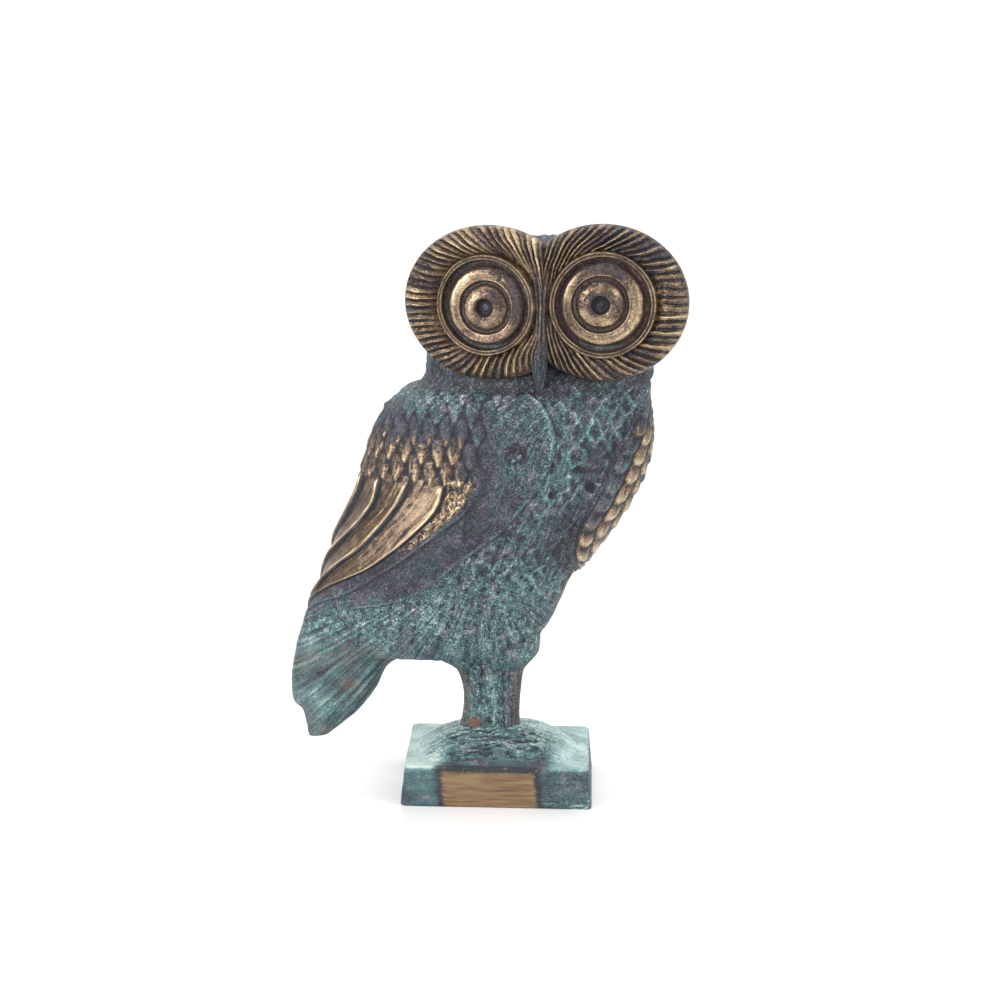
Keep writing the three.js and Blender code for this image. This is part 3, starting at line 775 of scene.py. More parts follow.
def near_wing():
    """Scales in rows down to SCALE_END, then long feathers that sweep back to the wing's tip."""
    steps = np.linspace(0, 1, 321)
    lines = np.concatenate([np.linspace(WING["first"], SCALE_END, 119)[:-1], np.linspace(SCALE_END, WING["last"], 157)])
    share, row = grid(steps, lines)
    back, rim = between(NEAR_BACK, row), between(NEAR_RIM, row)
    crest_row = np.maximum(row - CREST_ROW, 0)
    crests = np.stack([back, *[between(crest, crest_row) for crest in CRESTS], rim])
    band_place = share * BANDS
    low = np.clip(np.floor(band_place).astype(int), 0, BANDS - 1)
    slope = np.gradient(crests, axis=0)
    f = band_place - low

    def pick(table, index):
        return np.take_along_axis(table, index[None], 0)[0]

    combed = (
        (2 * f**3 - 3 * f**2 + 1) * pick(crests, low)
        + (f**3 - 2 * f**2 + f) * pick(slope, low)
        + (3 * f**2 - 2 * f**3) * pick(crests, low + 1)
        + (f**3 - f**2) * pick(slope, low + 1)
    )
    even = back + (rim - back) * share
    angle = even + (combed - even) * smooth(row, CREST_ROW - 1.5, CREST_ROW)
    base = skin(angle, row)
    across, down = run(base, 1), run(base, 0)
    to_rim, to_end = across[:, -1:] - across, down[-1:] - down
    fine = rough(base, 1.0, 21)

    tips = np.interp(row, SCALE_TIPS, np.arange(1, 7), left=0.2) + (row > SCALE_TIPS[-1]) * 3
    scale_fade = 1 - smooth(angle, 74, 86)
    places = (spread_of(base, angle) - SCALE_START + 0.5 * rough(base, 5.0, 20)) / SCALE_WIDTH
    scaled = shingles(places, tips + 0.14 * rough(base, 4.0, 24), 1.9)
    vein = grain(np.stack([places * 9, tips, 0 * tips], -1), 1.0, 25)
    scales = (0.7 + 0.14 * smooth(row, 2.6, 3.6)) * scaled * scale_fade * (1 + 0.2 * vein)
    scales = scales * (0.2 + 0.8 * smooth(row, 1.15, 1.8))
    scales = scales * (1 - 0.5 * bump(angle, 12, 22) * (1 - smooth(row, 3.0, 4.2)))
    feathers = feather_rise(f) * np.take(BAND_RISE, low)
    crest = bump(f, 0.92, 0.1) + bump(f, -0.02, 0.04) * (low > 0)
    barbs = grain(np.stack([across / 0.55, down / 5.0, 0 * down], -1), 1.0, 26)
    tip = smooth(row, 10.6, WING["last"])
    feathers = feathers * (1 - tip) + 0.5 * tip
    long_part = smooth(row, SCALE_END - 0.12, SCALE_END + 0.1)
    softly = smooth(row + 0.4 * rough(base, 3.0, 47), SCALE_END - 0.9, SCALE_END + 1.3)
    long_part = long_part * scale_fade + softly * (1 - scale_fade)
    glitter = smooth(band_place, 4.03, 4.12) * (1 - smooth(band_place, 4.7, 5.0))
    glitter = glitter * smooth(row, 4.8, 5.2) * (1 - smooth(row, 6.8, 8.8))
    combed_part = long_part * (1 - smooth(band_place, 3.95, 4.05))
    spot = np.hypot(base[..., 0] - KNOB[0], base[..., 2] - KNOB[1]) + 0.25 * grain(base, 0.9, 27)
    spot = np.where(np.abs(angle - 90) < 40, spot, 99)
    knob = smooth(spot, 2.1, 1.0) * (0.3 + 0.6 * grain(base, 0.75, 35)) - 0.07 * bump(spot, 2.1, 0.35)
    relief = (
        scales * (1 - long_part)
        + feathers * long_part
        + 0.18 * (1 - scale_fade) * (1 - long_part)
        + 0.09 * combed_part * barbs
        + 0.13 * fine * (1 - 0.5 * long_part * (band_place > 4.8))
        + 0.24 * glitter * (grain(base, 0.45, 23) + 0.3 * grain(base, 1.2, 39))
        + knob
        + 0.3 * WING["bead"] * bump(to_rim, 0.75, 0.45) * (1 + grain(base, 1.6, 28))
    )
    relief = soften(relief, 1)
    lift = relief - WING["sink"] - WING["tuck"] * (1 - smooth(row, WING["first"], WING["first"] + 0.7))
    lift = roll_down(lift, to_rim, 0.7, -1.4)
    lift = roll_down(lift, to_end, 0.8, -0.9)
    lift = roll_down(lift, across, 0.8, -1.7)
    inner_share, inner_row = grid(np.linspace(0, 1, 9), lines)
    inner_angle = between(NEAR_BACK, inner_row) * (1 - inner_share) + between(NEAR_RIM, inner_row) * inner_share
    inner = raised(inner_angle, inner_row, np.full(inner_row.shape, -WING["rise"] - WING["root"]))
    points = ring_rows(raised(angle, row, lift), inner)

    gold = smooth(row, 2.9, 4.4) * (1 - long_part) * (1 - smooth(angle, 68, 78))
    # How bright the long feathers are: rubbed metal, painted lighter up each slope towards its crest as if lit, and
    # painted dark just behind the crest as the groove's shade.
    feather_wear_and_sheen = 0.53 + 0.1 * smooth(f, 0.1, 0.8) - 0.02 * crest - 0.3 * bump(f, 0.02, 0.05)
    feather_wear_and_sheen = feather_wear_and_sheen + 0.1 * rough(base, 5.0, 42)
    sparks = smooth(grain(base, 0.42, 48), -0.25, 0.4)
    # Rubbed gold scales, and the feathers' wear with their painted light and shade.
    rubbed = 0.47 * gold + feather_wear_and_sheen * combed_part * (1 - smooth(row, 9.2, 11.6))
    rubbed = np.maximum(rubbed, (0.5 + 0.22 * sparks) * glitter) * (0.3 + 0.7 * smooth(across, 0.6, 5.0))
    (x0, z0), (x1, z1) = DARK_PURPLE_LINE
    left_of = ((base[..., 0] - x0) * (z1 - z0) - (base[..., 2] - z0) * (x1 - x0)) / np.hypot(x1 - x0, z1 - z0)
    mixed = smooth(row + 0.5 * rough(base, 3.0, 49), SCALE_END - 1.2, SCALE_END + 1.2)
    dark_purple_part = smooth(left_of + 0.8 * rough(base, 3.0, 29), -1.5, 2.5) * smooth(angle, 60, 80) * (1 - mixed)
    dark_purple_part = np.clip(dark_purple_part + mixed * smooth(band_place, 3.8, 4.0) + bump(row, 3.2, 0.7) * scale_fade, 0, 1)
    green = 0.3 + 0.1 * bump(row, 1.9, 0.8) * scale_fade * (1 + 0.8 * grain(base, 3.0, 50))
    green = green + 0.05 * bump(row, 2.4, 1.5) * (1 - scale_fade)
    tail_end = smooth(row, 9.0, 11.0)
    verdigris_and_shading = green + 0.1 * tail_end - 0.12 * dark_purple_part * (1 - 0.6 * tail_end) + 0.2 * bump(to_rim, 0.9, 0.7) * (1 - 0.4 * dark_purple_part)
    flecks = smooth(spot, 2.6, 1.8)
    white = smooth(grain(base, 0.42, 43) - 0.12 * (base[..., 2] - KNOB[1] + 0.6), 0.2, 0.5)
    verdigris_and_shading = verdigris_and_shading - 0.42 * flecks + 0.75 * flecks * white
    verdigris_and_shading = verdigris_and_shading * (0.45 + 0.55 * smooth(row + 0.35 * rough(base, 2.2, 44), 1.1, 1.7))
    verdigris_and_shading = verdigris_and_shading - 0.1 * combed_part

    def padded(field, fill=0.0):
        return np.concatenate([field, np.full(inner_row.shape, fill)], axis=1)

    piece(
        "near_wing",
        points,
        padded(relief - soften(relief, 6)),
        padded(np.clip(rubbed, 0, 1)),
        padded(verdigris_and_shading),
        np.concatenate([flow_of(across, down, 40), np.zeros(inner.shape)], axis=1),
        casting_bronze,
        padded(0.35 * bump(row, 10.4, 1.0) * (band_place < 4.6)),
        padded((1.1 - 0.3 * dark_purple_part - 0.6 * combed_part + 0.8 * glitter) * (1 - 0.5 * flecks)),
        padded(0.7 - 0.35 * dark_purple_part + 0.3 * combed_part + 0.4 * tail_end),
    )


FILE_EDGES = [0.0, 1.8, 5.9, 10.3, 14.4]


def far_wing():
    """Two files of rounded scales along the breast's outline, more over the upper back and long feathers
    below."""
    steps = np.linspace(0, 1, 225) ** 1.6
    lines = np.linspace(WING["first"], WING["last"], 205)
    share, row = grid(steps, lines)
    rim = between(FAR_RIM, row)
    end = 360 + between(NEAR_BACK, row) + FAR_LAP
    angle = rim + (end - rim) * share
    base = skin(angle, row)
    across, down = run(base, 1), run(base, 0)
    place = np.interp(across, FILE_EDGES, range(5)) + np.maximum(across - FILE_EDGES[-1], 0) / 4.6
    files = filed_scales(place + 0.1 * rough(base, 4.0, 30), down / 4.2 + 0.1 * rough(base, 4.0, 33) + 0.2)
    scaled = 1 - smooth(row, SCALE_END, SCALE_END + 0.3) * smooth(across, 14.0, 14.8)
    scaled = scaled * (1 - smooth(row, 9.0, 9.6)) * (0.25 + 0.75 * smooth(row, 2.2, 3.2))
    barbs = grain(np.stack([across / 0.6, down / 5.0, 0 * down], -1), 1.0, 32)
    feathers = feather_rise((share * 24 / 4) % 1) * 0.8 + 0.1 * barbs
    below = smooth(row, SCALE_END, SCALE_END + 0.3) * smooth(across, 14.0, 14.8)
    below = np.maximum(below, smooth(row, 9.0, 9.6))
    relief = 0.95 * files * scaled * smooth(across, 1.5, 2.2) + feathers * below + 0.13 * rough(base, 0.9, 31)
    relief = soften(relief, 1)
    lift = relief - WING["sink"] - WING["tuck"] * (1 - smooth(row, WING["first"], WING["first"] + 0.7))
    lift = roll_down(lift, across, 0.6, -1.2)
    lift = roll_down(lift, down[-1:] - down, 0.8, -0.9)
    inner_share, inner_row = grid(np.linspace(0, 1, 13), lines)
    inner_rim = between(FAR_RIM, inner_row)
    inner_end = 360 + between(NEAR_BACK, inner_row) + FAR_LAP
    inner_angle = inner_rim + (inner_end - inner_rim) * inner_share
    inner = raised(inner_angle, inner_row, np.full(inner_row.shape, -WING["rise"] - WING["root"]))
    outer_file = smooth(across, 5.4, 6.4) * (1 - smooth(across, 10.5, 16)) * smooth(row, 2.7, 3.4)
    inner_file = smooth(across, 1.6, 2.4) * (1 - smooth(across, 5.4, 6.4))
    inner_file = inner_file * (0.5 * bump(row, 3.4, 0.6) + 0.26 * smooth(row, 4.0, 5.0) + 0.74 * smooth(row, 6.5, 7.4))
    rubbed = np.clip(outer_file + inner_file, 0, 1) * (1 - smooth(row, 9.6, 10.6))
    # Darker along the wing's front edge: partly purple patina, partly painted shade where the wing stands over the
    # breast.
    dark_purple_part = bump(across, 1.5, 4.0) * smooth(row, 1.8, 3.0)
    verdigris_and_shading = 0.29 - 0.13 * dark_purple_part + 0.06 * smooth(across, 10, 16) + 0.06 * bump(across, 4.0, 1.5) * smooth(row, 3.0, 4.0)
    verdigris_and_shading = verdigris_and_shading * (0.5 + 0.5 * smooth(row + 0.35 * rough(base, 2.2, 44), 1.1, 1.9))

    def padded(field):
        return np.concatenate([field, np.zeros(inner_row.shape)], axis=1)

    piece(
        "far_wing",
        ring_rows(raised(angle, row, lift), inner),
        padded(relief - soften(relief, 5)),
        padded(0.6 * rubbed),
        padded(verdigris_and_shading),
        np.concatenate([flow_of(across, down, 80), np.zeros(inner.shape)], axis=1),
        casting_bronze,
        padded(0.12 * bump(across, 4.0, 2.5) * smooth(row, 2.0, 3.0)),
        padded(1.1 - 0.4 * bump(across, 4.0, 2.5) * smooth(row, 2.0, 3.0)),
    )


# Head


def on_face(points, face):
    """Turns points made round the Z axis so that they face along -Y, and sets them on the head."""
    x, y, z = np.moveaxis(points, -1, 0)
    x, y, z = x, -z, y
    turn = np.radians(-face["yaw"])
    x, y = x * np.cos(turn) - y * np.sin(turn), x * np.sin(turn) + y * np.cos(turn)
    return np.stack([x, y, z], -1) + np.array(face["middle"])


def lean_of(table, degrees):
    """The tangent of a barb's lean at any angle round the face, from the angles that the table gives."""
    angles, leans = np.array(list(table)), np.tan(np.radians(list(table.values())))
    return np.interp(degrees, angles, leans, period=360)


def creased(points, face):
    """The faces meet in a crease under the bridge: past it, each one bends back behind the other."""
    side = 1 if face is LEFT_FACE else -1
    past = np.clip(side * (points[..., 0] - BRIDGE["x"]) * CREASE["slope"], 0, CREASE["most"])
    points[..., 1] += past
    return points


def ruff(name, face, lean, tag):
    """A round disc with a rolled rim, combed into barbs. A barb rises slowly to a sharp crest and drops
    behind it, with a finer hair on its slope, and it leans more the further it has gone from the disc's
    middle, by the logarithm of the radius."""
    columns = face["barbs"] * 11
    turn, ring = grid(np.arange(columns) / columns * 2 * np.pi, np.linspace(0, len(RUFF_RINGS) - 1, 76))
    share, height, depth = np.moveaxis(between(RUFF_RINGS, ring), -1, 0)
    degrees = (np.degrees(turn) + 180) % 360 - 180
    flat = np.stack([share * np.cos(turn), share * np.sin(turn), 0 * turn], -1) * face["half"][0]
    drift = 0.35 * rough(flat + 9 * tag, 4.0, tag)
    count = face["barbs"] * (turn - lean_of(lean, degrees) * np.log(share / 0.8)) / (2 * np.pi) + drift
    cells = np.stack([np.floor(count), 0 * count, 0 * count], -1).astype(np.int64)
    part = count % 1
    barb = np.where(part < 0.62, part / 0.62, (1 - part) / 0.38) ** 1.25
    hair = bump(part, 0.24 + 0.05 * scatter(cells, tag + 7), 0.08)
    strength = 0.85 + 0.34 * scatter(cells, tag) + 0.3 * grain(flat + 70 * tag, 1.8, tag)
    nose = bump(degrees if tag == 3 else (degrees % 360) - 180, 0, 26)
    barb = (barb * 1.25 * strength - 0.62 + 0.3 * hair) * depth * (1 - 0.3 * nose)
    relief = 0.85 * barb + 0.16 * rough(flat + 50 * tag, 0.8, tag)
    outer = ring > 3.2
    grow = share + np.where(outer, 0.12 * barb / face["half"][0], 0)
    points = np.stack(
        [
            face["half"][0] * grow * np.cos(turn),
            face["half"][1] * grow * np.sin(turn),
            height + np.where(outer, 0, relief),
        ],
        -1,
    )
    low = bump(degrees, -85, 40) if tag == 3 else bump(degrees, -110, 25)
    polish_and_sheen = 0.6 + 0.15 * scatter(cells, tag + 5) - 0.04 * low - 0.24 * nose + 0.14 * rough(flat + 80 * tag, 3.0, tag)
    polish_and_sheen = polish_and_sheen - (0.08 * arc(degrees, 180, 45) if tag == 3 else 0.26 * arc(degrees, 75, 40) + 0.08 * arc(degrees, -60, 40))
    behind = smooth(ring + 0.3 * grain(flat + 60 * tag, 2.5, tag), 3.9, 4.7)
    polish_and_sheen = np.clip(polish_and_sheen, 0.05, 1) * (1 - behind)
    verdigris_and_shading = 0.16 + 0.22 * bump(degrees, -172, 16) + 0.16 * bump(degrees, 178, 12) + 0.12 * behind
    flow = flow_of(count * 1.5, share * face["half"][0], 100 * tag)
    points = creased(on_face(points, face), face)
    piece(name, points, relief * 0.4, polish_and_sheen, verdigris_and_shading, flow, casting_bronze)


# Painted highlights and painted shade on the eyes, brighter or darker by angle: radius, its width, angle, its width,
# how much.
EYE_PAINTED_LIGHT = {
    3: [
        [6.5, 0.8, 145, 38, 0.7],
        [6.8, 0.9, -110, 60, 0.16],
        [3.4, 0.9, 165, 60, 0.5],
        [3.4, 0.9, -70, 60, 0.12],
        [6.8, 1.3, 15, 44, -0.3],
        [3.4, 1.0, 40, 40, -0.2],
    ],
    4: [
        [6.7, 0.8, 145, 30, 0.4],
        [7.0, 1.0, -60, 65, 0.35],
        [7.8, 0.9, 0, 40, 0.4],
        [3.4, 0.9, -100, 80, 0.25],
        [3.4, 0.8, 150, 50, 0.12],
        [6.8, 1.2, 85, 38, -0.35],
        [2.1, 0.25, -40, 45, 0.4],
    ],
}


def eye(name, face, tag):
    """A dome with a shallow pupil, its floor painted dark as the shade of a hole, inside a broad ring and a raised
    double rim: the profile carried round, a little uneven.
    """
    radii, heights = np.array(EYE_PROFILE).T
    length = np.concatenate([[0], np.cumsum(np.hypot(np.diff(radii), np.diff(heights)))])
    fine = np.linspace(0, length[-1], 180)
    radius, height = np.interp(fine, length, radii), np.interp(fine, length, heights)
    height = np.convolve(np.pad(height, 1, mode="edge"), np.ones(3) / 3, mode="valid")
    radius[0] = 0.02
    turn, place = grid(np.arange(172) / 172 * 2 * np.pi, np.arange(len(fine)))
    wide, high = radius[place] * face["eye"], height[place]
    flat = np.stack([wide * np.cos(turn), wide * np.sin(turn), high], -1)
    dents = rough(flat + 30 * tag, 2.6, tag)
    uneven = 0.16 * dents + 0.05 * rough(flat + 30 * tag, 0.9, tag)
    pits_at = (3.8, 4.6) if tag == 3 else (-2.0, 4.4)
    pitted = bump(np.hypot(flat[..., 0] - pits_at[0], flat[..., 1] - pits_at[1]), 0, 3.0)
    holes = np.clip(grain(flat + 11 * tag, 0.5, tag) - 0.3, 0, 1) * pitted
    swing = 0.12 * grain(np.stack([1.6 * np.cos(turn), 1.6 * np.sin(turn), wide / 2], -1) + tag, 1.0, tag)
    swing = wide + swing * smooth(wide, 0.5, 3.0)
    r = wide / face["eye"]
    aside = (1 - smooth(r, 5.5, 9.0)) * 0.5
    x, y = swing * np.cos(turn) - aside * (tag == 4), swing * np.sin(turn) - aside * (tag == 3)
    points = np.stack([x, y, high + uneven - 0.5 * holes], -1)
    degrees = (np.degrees(turn) + 180) % 360 - 180
    # The pupil is a shallow cup whose floor is painted dark, as the shade of a hole, with a teal tint in its middle.
    pupil_shade = r < 1.65
    blots = rough(flat + 60 * tag, 1.7, tag)
    trough = bump(r, 8.35, 0.42) + 0.9 * bump(r, 4.9, 0.24) + 0.8 * bump(r, 9.58, 0.12) + pupil_shade
    trough = np.clip(trough + 0.9 * blots * bump(r, 7.8, 0.7), 0, 1)
    polish_and_sheen = 0.5 + 0.3 * bump(r, 5.6, 0.12) + 0.22 * smooth(r, 8.9, 9.1)
    # Painted highlights and painted shade, added to the brightness by angle round the eye.
    for radius_at, reach, angle_at, spread, amount in EYE_PAINTED_LIGHT[tag]:
        polish_and_sheen = polish_and_sheen + amount * bump(r, radius_at, reach) * arc(degrees, angle_at, spread)
    polish_and_sheen = polish_and_sheen + 0.35 * blots - 0.1 * bump(r, 2.0, 0.3) - 0.7 * holes
    verdigris_and_shading = 0.13 + 0.15 * blots + 0.5 * bump(r, 8.2, 0.5) * arc(degrees, -90, 30) - 0.16 * pupil_shade
    verdigris_and_shading = verdigris_and_shading + 0.17 * smooth(r, 0.75, 0.4) + 0.6 * (tag == 4) * bump(r, 1.1, 0.3) * arc(degrees, -100, 50)
    relief = np.where(pupil_shade & (r > 0.6), -0.12, 0.04 * dents) - 0.25 * holes
    flow = flow_of(r, turn * 6, 150 * tag)
    polish_and_sheen = np.clip(polish_and_sheen, 0.05, 1) * (1 - trough)
    piece(name, on_face(points, face), relief, polish_and_sheen, verdigris_and_shading, flow, casting_bronze, 0.38 * (1 - pupil_shade))


def lozenge_skin(points, size):
    """Low staggered lozenges over the hidden back of the head."""
    slant = points[..., 0] / size
    fall = points[..., 2] / (size * 1.2)
    ridges = [bump(np.abs(2 * ((slant + side * fall) % 1) - 1), 1, 0.2) for side in (1, -1)]
    return np.maximum(*ridges)


def ball(half, columns, rows):
    """A sphere's directions, from its front pole to its back pole, and its points on half the axes."""
    turn, tilt = grid(np.arange(columns) / columns * 2 * np.pi, np.linspace(0.002, np.pi - 0.002, rows))
    way = np.stack([np.sin(tilt) * np.cos(turn), np.sin(tilt) * np.sin(turn), np.cos(tilt)], -1)
    return way, way * np.array(half), turn, tilt


def skull():
    """The round back of the head between the two faces."""
    way, points, turn, tilt = ball(SKULL["half"], 140, 70)
    points = points + np.array(SKULL["middle"])
    relief = 0.22 * lozenge_skin(points, 4.2) + 0.12 * rough(points, 1.2, 51)
    points = points + way * relief[..., None]
    verdigris_and_shading = 0.22 + 0.16 * smooth(points[..., 1], -6, 4)
    piece("skull", points, relief - soften(relief, 4), 0.0, verdigris_and_shading, flow_of(points[..., 0], points[..., 2], 7), casting_bronze)


def face_dome(name, face, tag):
    """The dome that carries a ruff back into the skull, flat behind the ruff."""
    half = (face["half"][0] - DOME["shrink"], face["half"][1] - DOME["shrink"], DOME["depth"])
    way, points, turn, tilt = ball(half, 110, 46)
    points[..., 2] = np.minimum(points[..., 2] - DOME["back"], -DOME["flat"])
    relief = 0.14 * rough(points + 20 * tag, 1.4, tag)
    points = creased(on_face(points + way * relief[..., None], face), face)
    piece(name, points, relief, 0.0, 0.24 + 0.12 * smooth(points[..., 1], -8, 0), flow_of(turn * 12, tilt * 12, tag), casting_bronze)


def bridge_and_beak():
    """Strands that run down between the eyes, close up, and swell into the beak."""
    turn, row = grid(np.arange(116) / 116 * 2 * np.pi, np.linspace(0, len(BRIDGE_ROWS) - 1, 150))
    z, y, half_width, half_depth = np.moveaxis(between(BRIDGE_ROWS, row), -1, 0)
    closed = np.sqrt(1 - (1 - np.clip(row / 0.45, 0.02, 1)) ** 2)
    half_width, half_depth, y = half_width * closed, half_depth * closed, y - 1.5 * (1 - closed)
    beak = smooth(row, 3.9, 4.6)
    wander = 0.5 * grain(np.stack([np.cos(turn) * 2, np.sin(turn) * 2, z / 4], -1), 1.0, 62)
    strand = np.abs(np.cos(turn * BRIDGE["strands"] / 2 + 0.3 + wander)) ** 0.7
    ridge = bump(np.abs(turn - 1.5 * np.pi), 0, 0.5)
    strand = strand * (1 - 0.4 * beak)
    grow = 1 + BRIDGE["depth"] * (2 * strand - 1) * smooth(row, 0.1, 0.7) + 0.12 * beak * ridge
    points = np.stack(
        [BRIDGE["x"] + half_width * grow * np.cos(turn), y + half_depth * grow * np.sin(turn), z], -1
    )
    knocks = rough(points, 0.9, 61)
    points = points + (0.1 + 0.14 * beak * (half_width > 0.5))[..., None] * knocks[..., None] * np.array([1, 1, 0])
    relief = (strand - 0.65) * 0.45 * (1 - 0.5 * beak) * smooth(row, 0.3, 0.9) + 0.1 * knocks
    polish_and_sheen = (0.32 - 0.06 * beak) * smooth(-y - half_depth * np.sin(turn), 7.0, 9.5) * smooth(row, 0.05, 0.35)
    verdigris_and_shading = 0.17 + 0.05 * beak
    piece("bridge_and_beak", points, relief, polish_and_sheen, verdigris_and_shading, flow_of(turn * 3, z, 8), casting_bronze)


# Legs, mound and plinth


def shank():
    """Both legs and the web between them: an oval section, squared at its sides and hollowed in the middle."""
    turn, row = grid(np.arange(160) / 160 * 2 * np.pi, np.linspace(0, len(SHANK_ROWS) - 1, 112))
    z, x, half_width, half_depth = np.moveaxis(between(SHANK_ROWS, row), -1, 0)
    thigh = smooth(z, 24.0, 28.5)
    x, half_width = x - 1.5 * thigh, half_width + 3.0 * thigh
    offset = half_width * np.cos(turn)
    side = np.sin(turn)
    hollow = 1 - WEB["recess"] * bump(offset, 0, WEB["half_width"])
    depth = half_depth * np.sign(side) * np.abs(side) ** WEB["squareness"] * hollow
    points = np.stack([x + offset, depth, z], -1)
    out = np.stack([np.cos(turn), side, 0 * side], -1)
    strands = rough(points * np.array([1, 1, 0.25]), 0.9, 71)
    web = bump(offset, -0.3, 3.4)
    relief = 0.16 * strands * (0.5 + web) + 0.24 * rough(points, 0.8, 72) * web
    rust = bump(np.hypot((points[..., 0] + 4.9) / 1.4, points[..., 2] - 13.8), 0, 1.15) * (side < 0)
    points = points + out * relief[..., None]
    relief = relief - soften(relief, 5)
    upper = smooth(z, 22, 28)
    patch = bump(np.hypot((points[..., 0] + 2.6) / 1.6, points[..., 2] - 16.0), 0, 1.5)
    verdigris_and_shading = 0.32 + 0.19 * np.maximum(web, upper) + 0.2 * patch - 0.05 * smooth(np.abs(offset), 2.8, 5.0)
    sides = 0.4 * smooth(np.abs(offset), 2.8, 5.0) * (1 - upper)
    piece("legs", points, relief, 0.0, verdigris_and_shading, flow_of(turn * 6, z, 9), casting_bronze, np.maximum(1.1 * rust, sides))


def mound():
    """A low rough heap on the plinth: squared rings that rise to a round crown, with ridges running out."""
    turn, step = grid(np.arange(360) / 360 * 2 * np.pi, np.linspace(0, 1, 92))
    share = np.maximum(1 - step, 0.01)
    square = 1 / np.maximum(np.abs(np.cos(turn)), np.abs(np.sin(turn))) ** MOUND["squareness"]
    x = MOUND["x"] + MOUND["reach_x"] * square * share * np.cos(turn)
    y = MOUND["y"] + MOUND["reach_y"] * square * share * np.sin(turn)
    flat = np.stack([x, y, 0 * x], -1)
    swell = np.sin(np.pi * share)
    ridges = MOUND["ridge"] * np.cos(turn * MOUND["ridges"] + 1.5 * rough(flat, 6.0, 81)) * swell
    rags = rough(flat * np.array([0.4, 1.6, 1]), 0.9, 82)
    front = smooth(-y + 1.5 * rough(flat, 4.0, 84), 2, 7) * (1 - smooth(np.abs(x - 0.5), 8, 13))
    relief = 0.4 * ridges + rags * (0.1 + 0.3 * swell * (0.3 + front)) + 0.16 * front * rough(flat, 0.7, 83)
    rise = MOUND["height"] * np.clip(1 - share ** MOUND["crown"], 0, 1) ** MOUND["foot"]
    rise = rise + relief * smooth(1 - share, 0, 0.1)
    z = PLINTH["height"] + rise - 0.12 - 0.3 * smooth(share, 0.93, 1.0)
    z[0] = PLINTH["height"] - MOUND["root"]
    relief = (relief - soften(relief, 6)) * smooth(1 - share, 0, 0.12)
    # Paler towards the mound's foot, as pale as the plinth's top, with weaker grain and streaks.
    paler_foot = smooth(share + 0.12 * rough(flat, 3.0, 85), 0.62, 0.95)
    verdigris_and_shading = 0.78 - 0.28 * front + 0.1 * smooth(y, 0, 6)
    verdigris_and_shading = verdigris_and_shading + (1.0 - 0.62 * front * (y < 0) - verdigris_and_shading) * paler_foot
    piece(
        "mound",
        np.stack([x, y, z], -1),
        relief,
        0.0,
        verdigris_and_shading,
        flow_of(y * 1.3 + z, x, 10),
        casting_bronze,
        0.0,
        1 - 0.5 * paler_foot,
        0.8 - 0.4 * paler_foot,
    )


def plinth():
    """A square block with rounded corners and edges, a little wider at its foot, its faces gently uneven."""
    quarter = 60
    count = 4 * quarter
    index = np.arange(count)
    corner_part = 12
    which = index // quarter
    within = index % quarter
    turn = (which + np.clip(within / corner_part, 0, 1)) * np.pi / 2
    towards = np.clip((within - corner_part) / (quarter - corner_part), 0, 1)
    signs = np.array([[1, 1], [-1, 1], [-1, -1], [1, -1]])
    here, ahead = signs[which], signs[(which + 1) % 4]
    levels = np.array(
        [[0, 0.24]]
        + [[0.3, 0]]
        + [[h, 0] for h in np.linspace(0.8, PLINTH["height"] - PLINTH["edge"], 24)]
        + [[PLINTH["height"] - PLINTH["edge"] * (1 - np.sin(a)), PLINTH["edge"] * (1 - np.cos(a))] for a in np.linspace(0.2, np.pi / 2, 7)]
    )
    inward = np.linspace(1, 17, 30)
    rows = np.concatenate([levels, np.stack([np.full(30, PLINTH["height"]), PLINTH["edge"] + inward], -1)])
    z, inset = rows[:, :1], rows[:, 1:]
    share = z / PLINTH["height"]
    half_x = (PLINTH["foot"][0] + (PLINTH["top"][0] - PLINTH["foot"][0]) * share) / 2 - inset
    half_y = (PLINTH["foot"][1] + (PLINTH["top"][1] - PLINTH["foot"][1]) * share) / 2 - inset
    radius = np.minimum(PLINTH["corner"], np.minimum(half_x, half_y) * 0.9)
    sign = here + (ahead - here) * towards[:, None]
    x = sign[:, 0] * (half_x - radius) + radius * np.cos(turn)
    y = sign[:, 1] * (half_y - radius) + radius * np.sin(turn)
    points = np.stack([x, y, z + 0 * x], -1)
    wave = 0.16 * rough(points, 5.0, 91) + 0.06 * rough(points, 1.2, 92)
    top = smooth(points[..., 2], PLINTH["height"] - 1, PLINTH["height"])
    out = np.stack([np.cos(turn) * (1 - top), np.sin(turn) * (1 - top), 0.8 * top], -1)
    points = points + out * (wave * smooth(points[..., 2], 0.2, 1.0))[..., None]
    front = smooth(-points[..., 1], 15.5, 16.8) * (1 - top)
    right = smooth(points[..., 0], 8, 13) * (1 - smooth(points[..., 2], 1.5, 4.5))
    dark = smooth(-points[..., 1] + 0.8 * rough(points, 2.5, 93), 11.0, 13.5)
    dark = dark * (1 - smooth(np.abs(points[..., 0] + 0.5), 9.0, 12.5))
    strokes = smooth(rough(points * np.array([0.35, 1, 1.6]), 0.9, 94), 0.0, 0.5)
    verdigris_and_shading = 0.44 - 0.05 * (points[..., 0] > 0) * front + 0.7 * front * right * strokes
    # The top is paler: partly lighter verdigris, partly painted light on a face turned to the bright room above.
    verdigris_and_shading = verdigris_and_shading + (0.6 - 0.12 * smooth(points[..., 0], 5, 12) - 0.66 * dark) * top
    flow = flow_of(points[..., 2], points[..., 0] + points[..., 1], 12)
    calm = 0.35 + 0.25 * front * (points[..., 0] > 0)
    piece("plinth", points, wave * 0.4, 0.0, verdigris_and_shading, flow, plinth_bronze, 0.0, calm, 0.35)


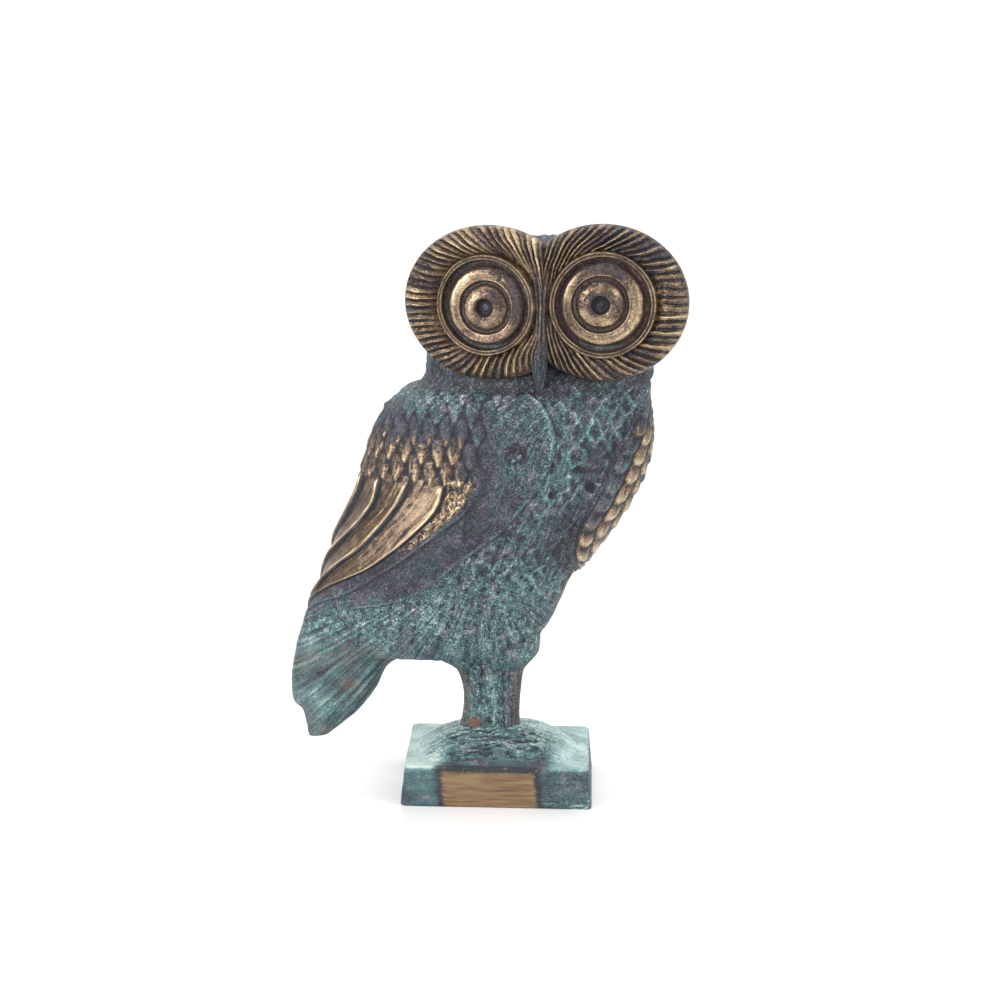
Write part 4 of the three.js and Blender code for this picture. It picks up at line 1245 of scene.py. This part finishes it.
body_and_tail()
near_wing()
far_wing()
skull()
for side, face, lean, tag in (("left", LEFT_FACE, LEFT_LEAN, 3), ("right", RIGHT_FACE, RIGHT_LEAN, 4)):
    ruff(side + "_ruff", face, lean, tag)
    face_dome(side + "_dome", face, tag)
    eye(side + "_eye", face, tag)
bridge_and_beak()
shank()
mound()
plinth()

# Studio: a pale floor, a soft white room, two soft lamps and the camera

CAMERA = {"target": (-0.47, 0.0, 58.74), "distance": 685.0, "up": 10.93, "yaw": 1.34, "roll": 0.83, "lens": 123.3}


def floor():
    size = 12.0
    mesh = bpy.data.meshes.new("floor")
    mesh.from_pydata([(-size, -size, 0), (size, -size, 0), (size, size, 0), (-size, size, 0)], [], [(0, 1, 2, 3)])
    paper = bpy.data.materials.new("white_paper")
    paper.use_nodes = True
    shader = paper.node_tree.nodes["Principled BSDF"]
    shader.inputs["Base Color"].default_value = (0.82, 0.82, 0.82, 1)
    shader.inputs["Roughness"].default_value = 0.3
    shader.inputs["Specular IOR Level"].default_value = 0.5
    mesh.materials.append(paper)
    made = bpy.data.objects.new("floor", mesh)
    bpy.context.scene.collection.objects.link(made)


def room():
    """White above and behind, dim in front of the owl, where the camera stands."""
    world = bpy.data.worlds.new("studio")
    bpy.context.scene.world = world
    world.use_nodes = True
    w = Wiring(world.node_tree)
    way = node(world.node_tree, "ShaderNodeTexCoord").outputs["Generated"]
    split = node(world.node_tree, "ShaderNodeSeparateXYZ")
    w.put(split.inputs[0], way)
    behind = w.step(split.outputs[1], -0.1, 0.75)
    above = w.step(split.outputs[2], 0.25, 0.85)
    level = w.math("ADD", w.scaled(behind, 0.22, 0.95), w.scaled(above, 0.0, 1.45))
    background = world.node_tree.nodes["Background"]
    background.inputs["Color"].default_value = (1, 1, 1, 1)
    w.put(background.inputs["Strength"], level)


def soft_lamp(name, place, size, power, aim=(0, 0, 60)):
    lamp = bpy.data.lights.new(name, "AREA")
    lamp.size = size
    lamp.energy = power
    made = bpy.data.objects.new(name, lamp)
    bpy.context.scene.collection.objects.link(made)
    back = np.array(place, float) - np.array(aim, float)
    back /= np.linalg.norm(back)
    right = np.cross((0, 0, 1), back)
    right /= np.linalg.norm(right)
    turned = np.column_stack([right, np.cross(back, right), back])
    made.matrix_world = Matrix.Translation(np.array(place) * MM) @ Matrix(turned.tolist()).to_4x4()


def camera():
    up, yaw, roll = (np.radians(CAMERA[key]) for key in ("up", "yaw", "roll"))
    back = np.array([np.sin(yaw) * np.cos(up), -np.cos(yaw) * np.cos(up), np.sin(up)])
    right = np.cross(-back, (0, 0, 1))
    right /= np.linalg.norm(right)
    head = np.cross(right, -back)
    turned = np.column_stack(
        [np.cos(roll) * right + np.sin(roll) * head, np.cos(roll) * head - np.sin(roll) * right, back]
    )
    lens = bpy.data.cameras.new("camera")
    lens.lens = CAMERA["lens"]
    lens.clip_end = 100
    made = bpy.data.objects.new("camera", lens)
    bpy.context.scene.collection.objects.link(made)
    place = (np.array(CAMERA["target"]) + CAMERA["distance"] * back) * MM
    made.matrix_world = Matrix.Translation(place) @ Matrix(turned.tolist()).to_4x4()
    bpy.context.scene.camera = made


floor()
room()
soft_lamp("key_lamp", (-520, -520, 330), 0.42, 4.2)
soft_lamp("side_lamp", (460, -260, 300), 0.3, 1.2)
camera()
bpy.context.scene.view_settings.view_transform = "Standard"
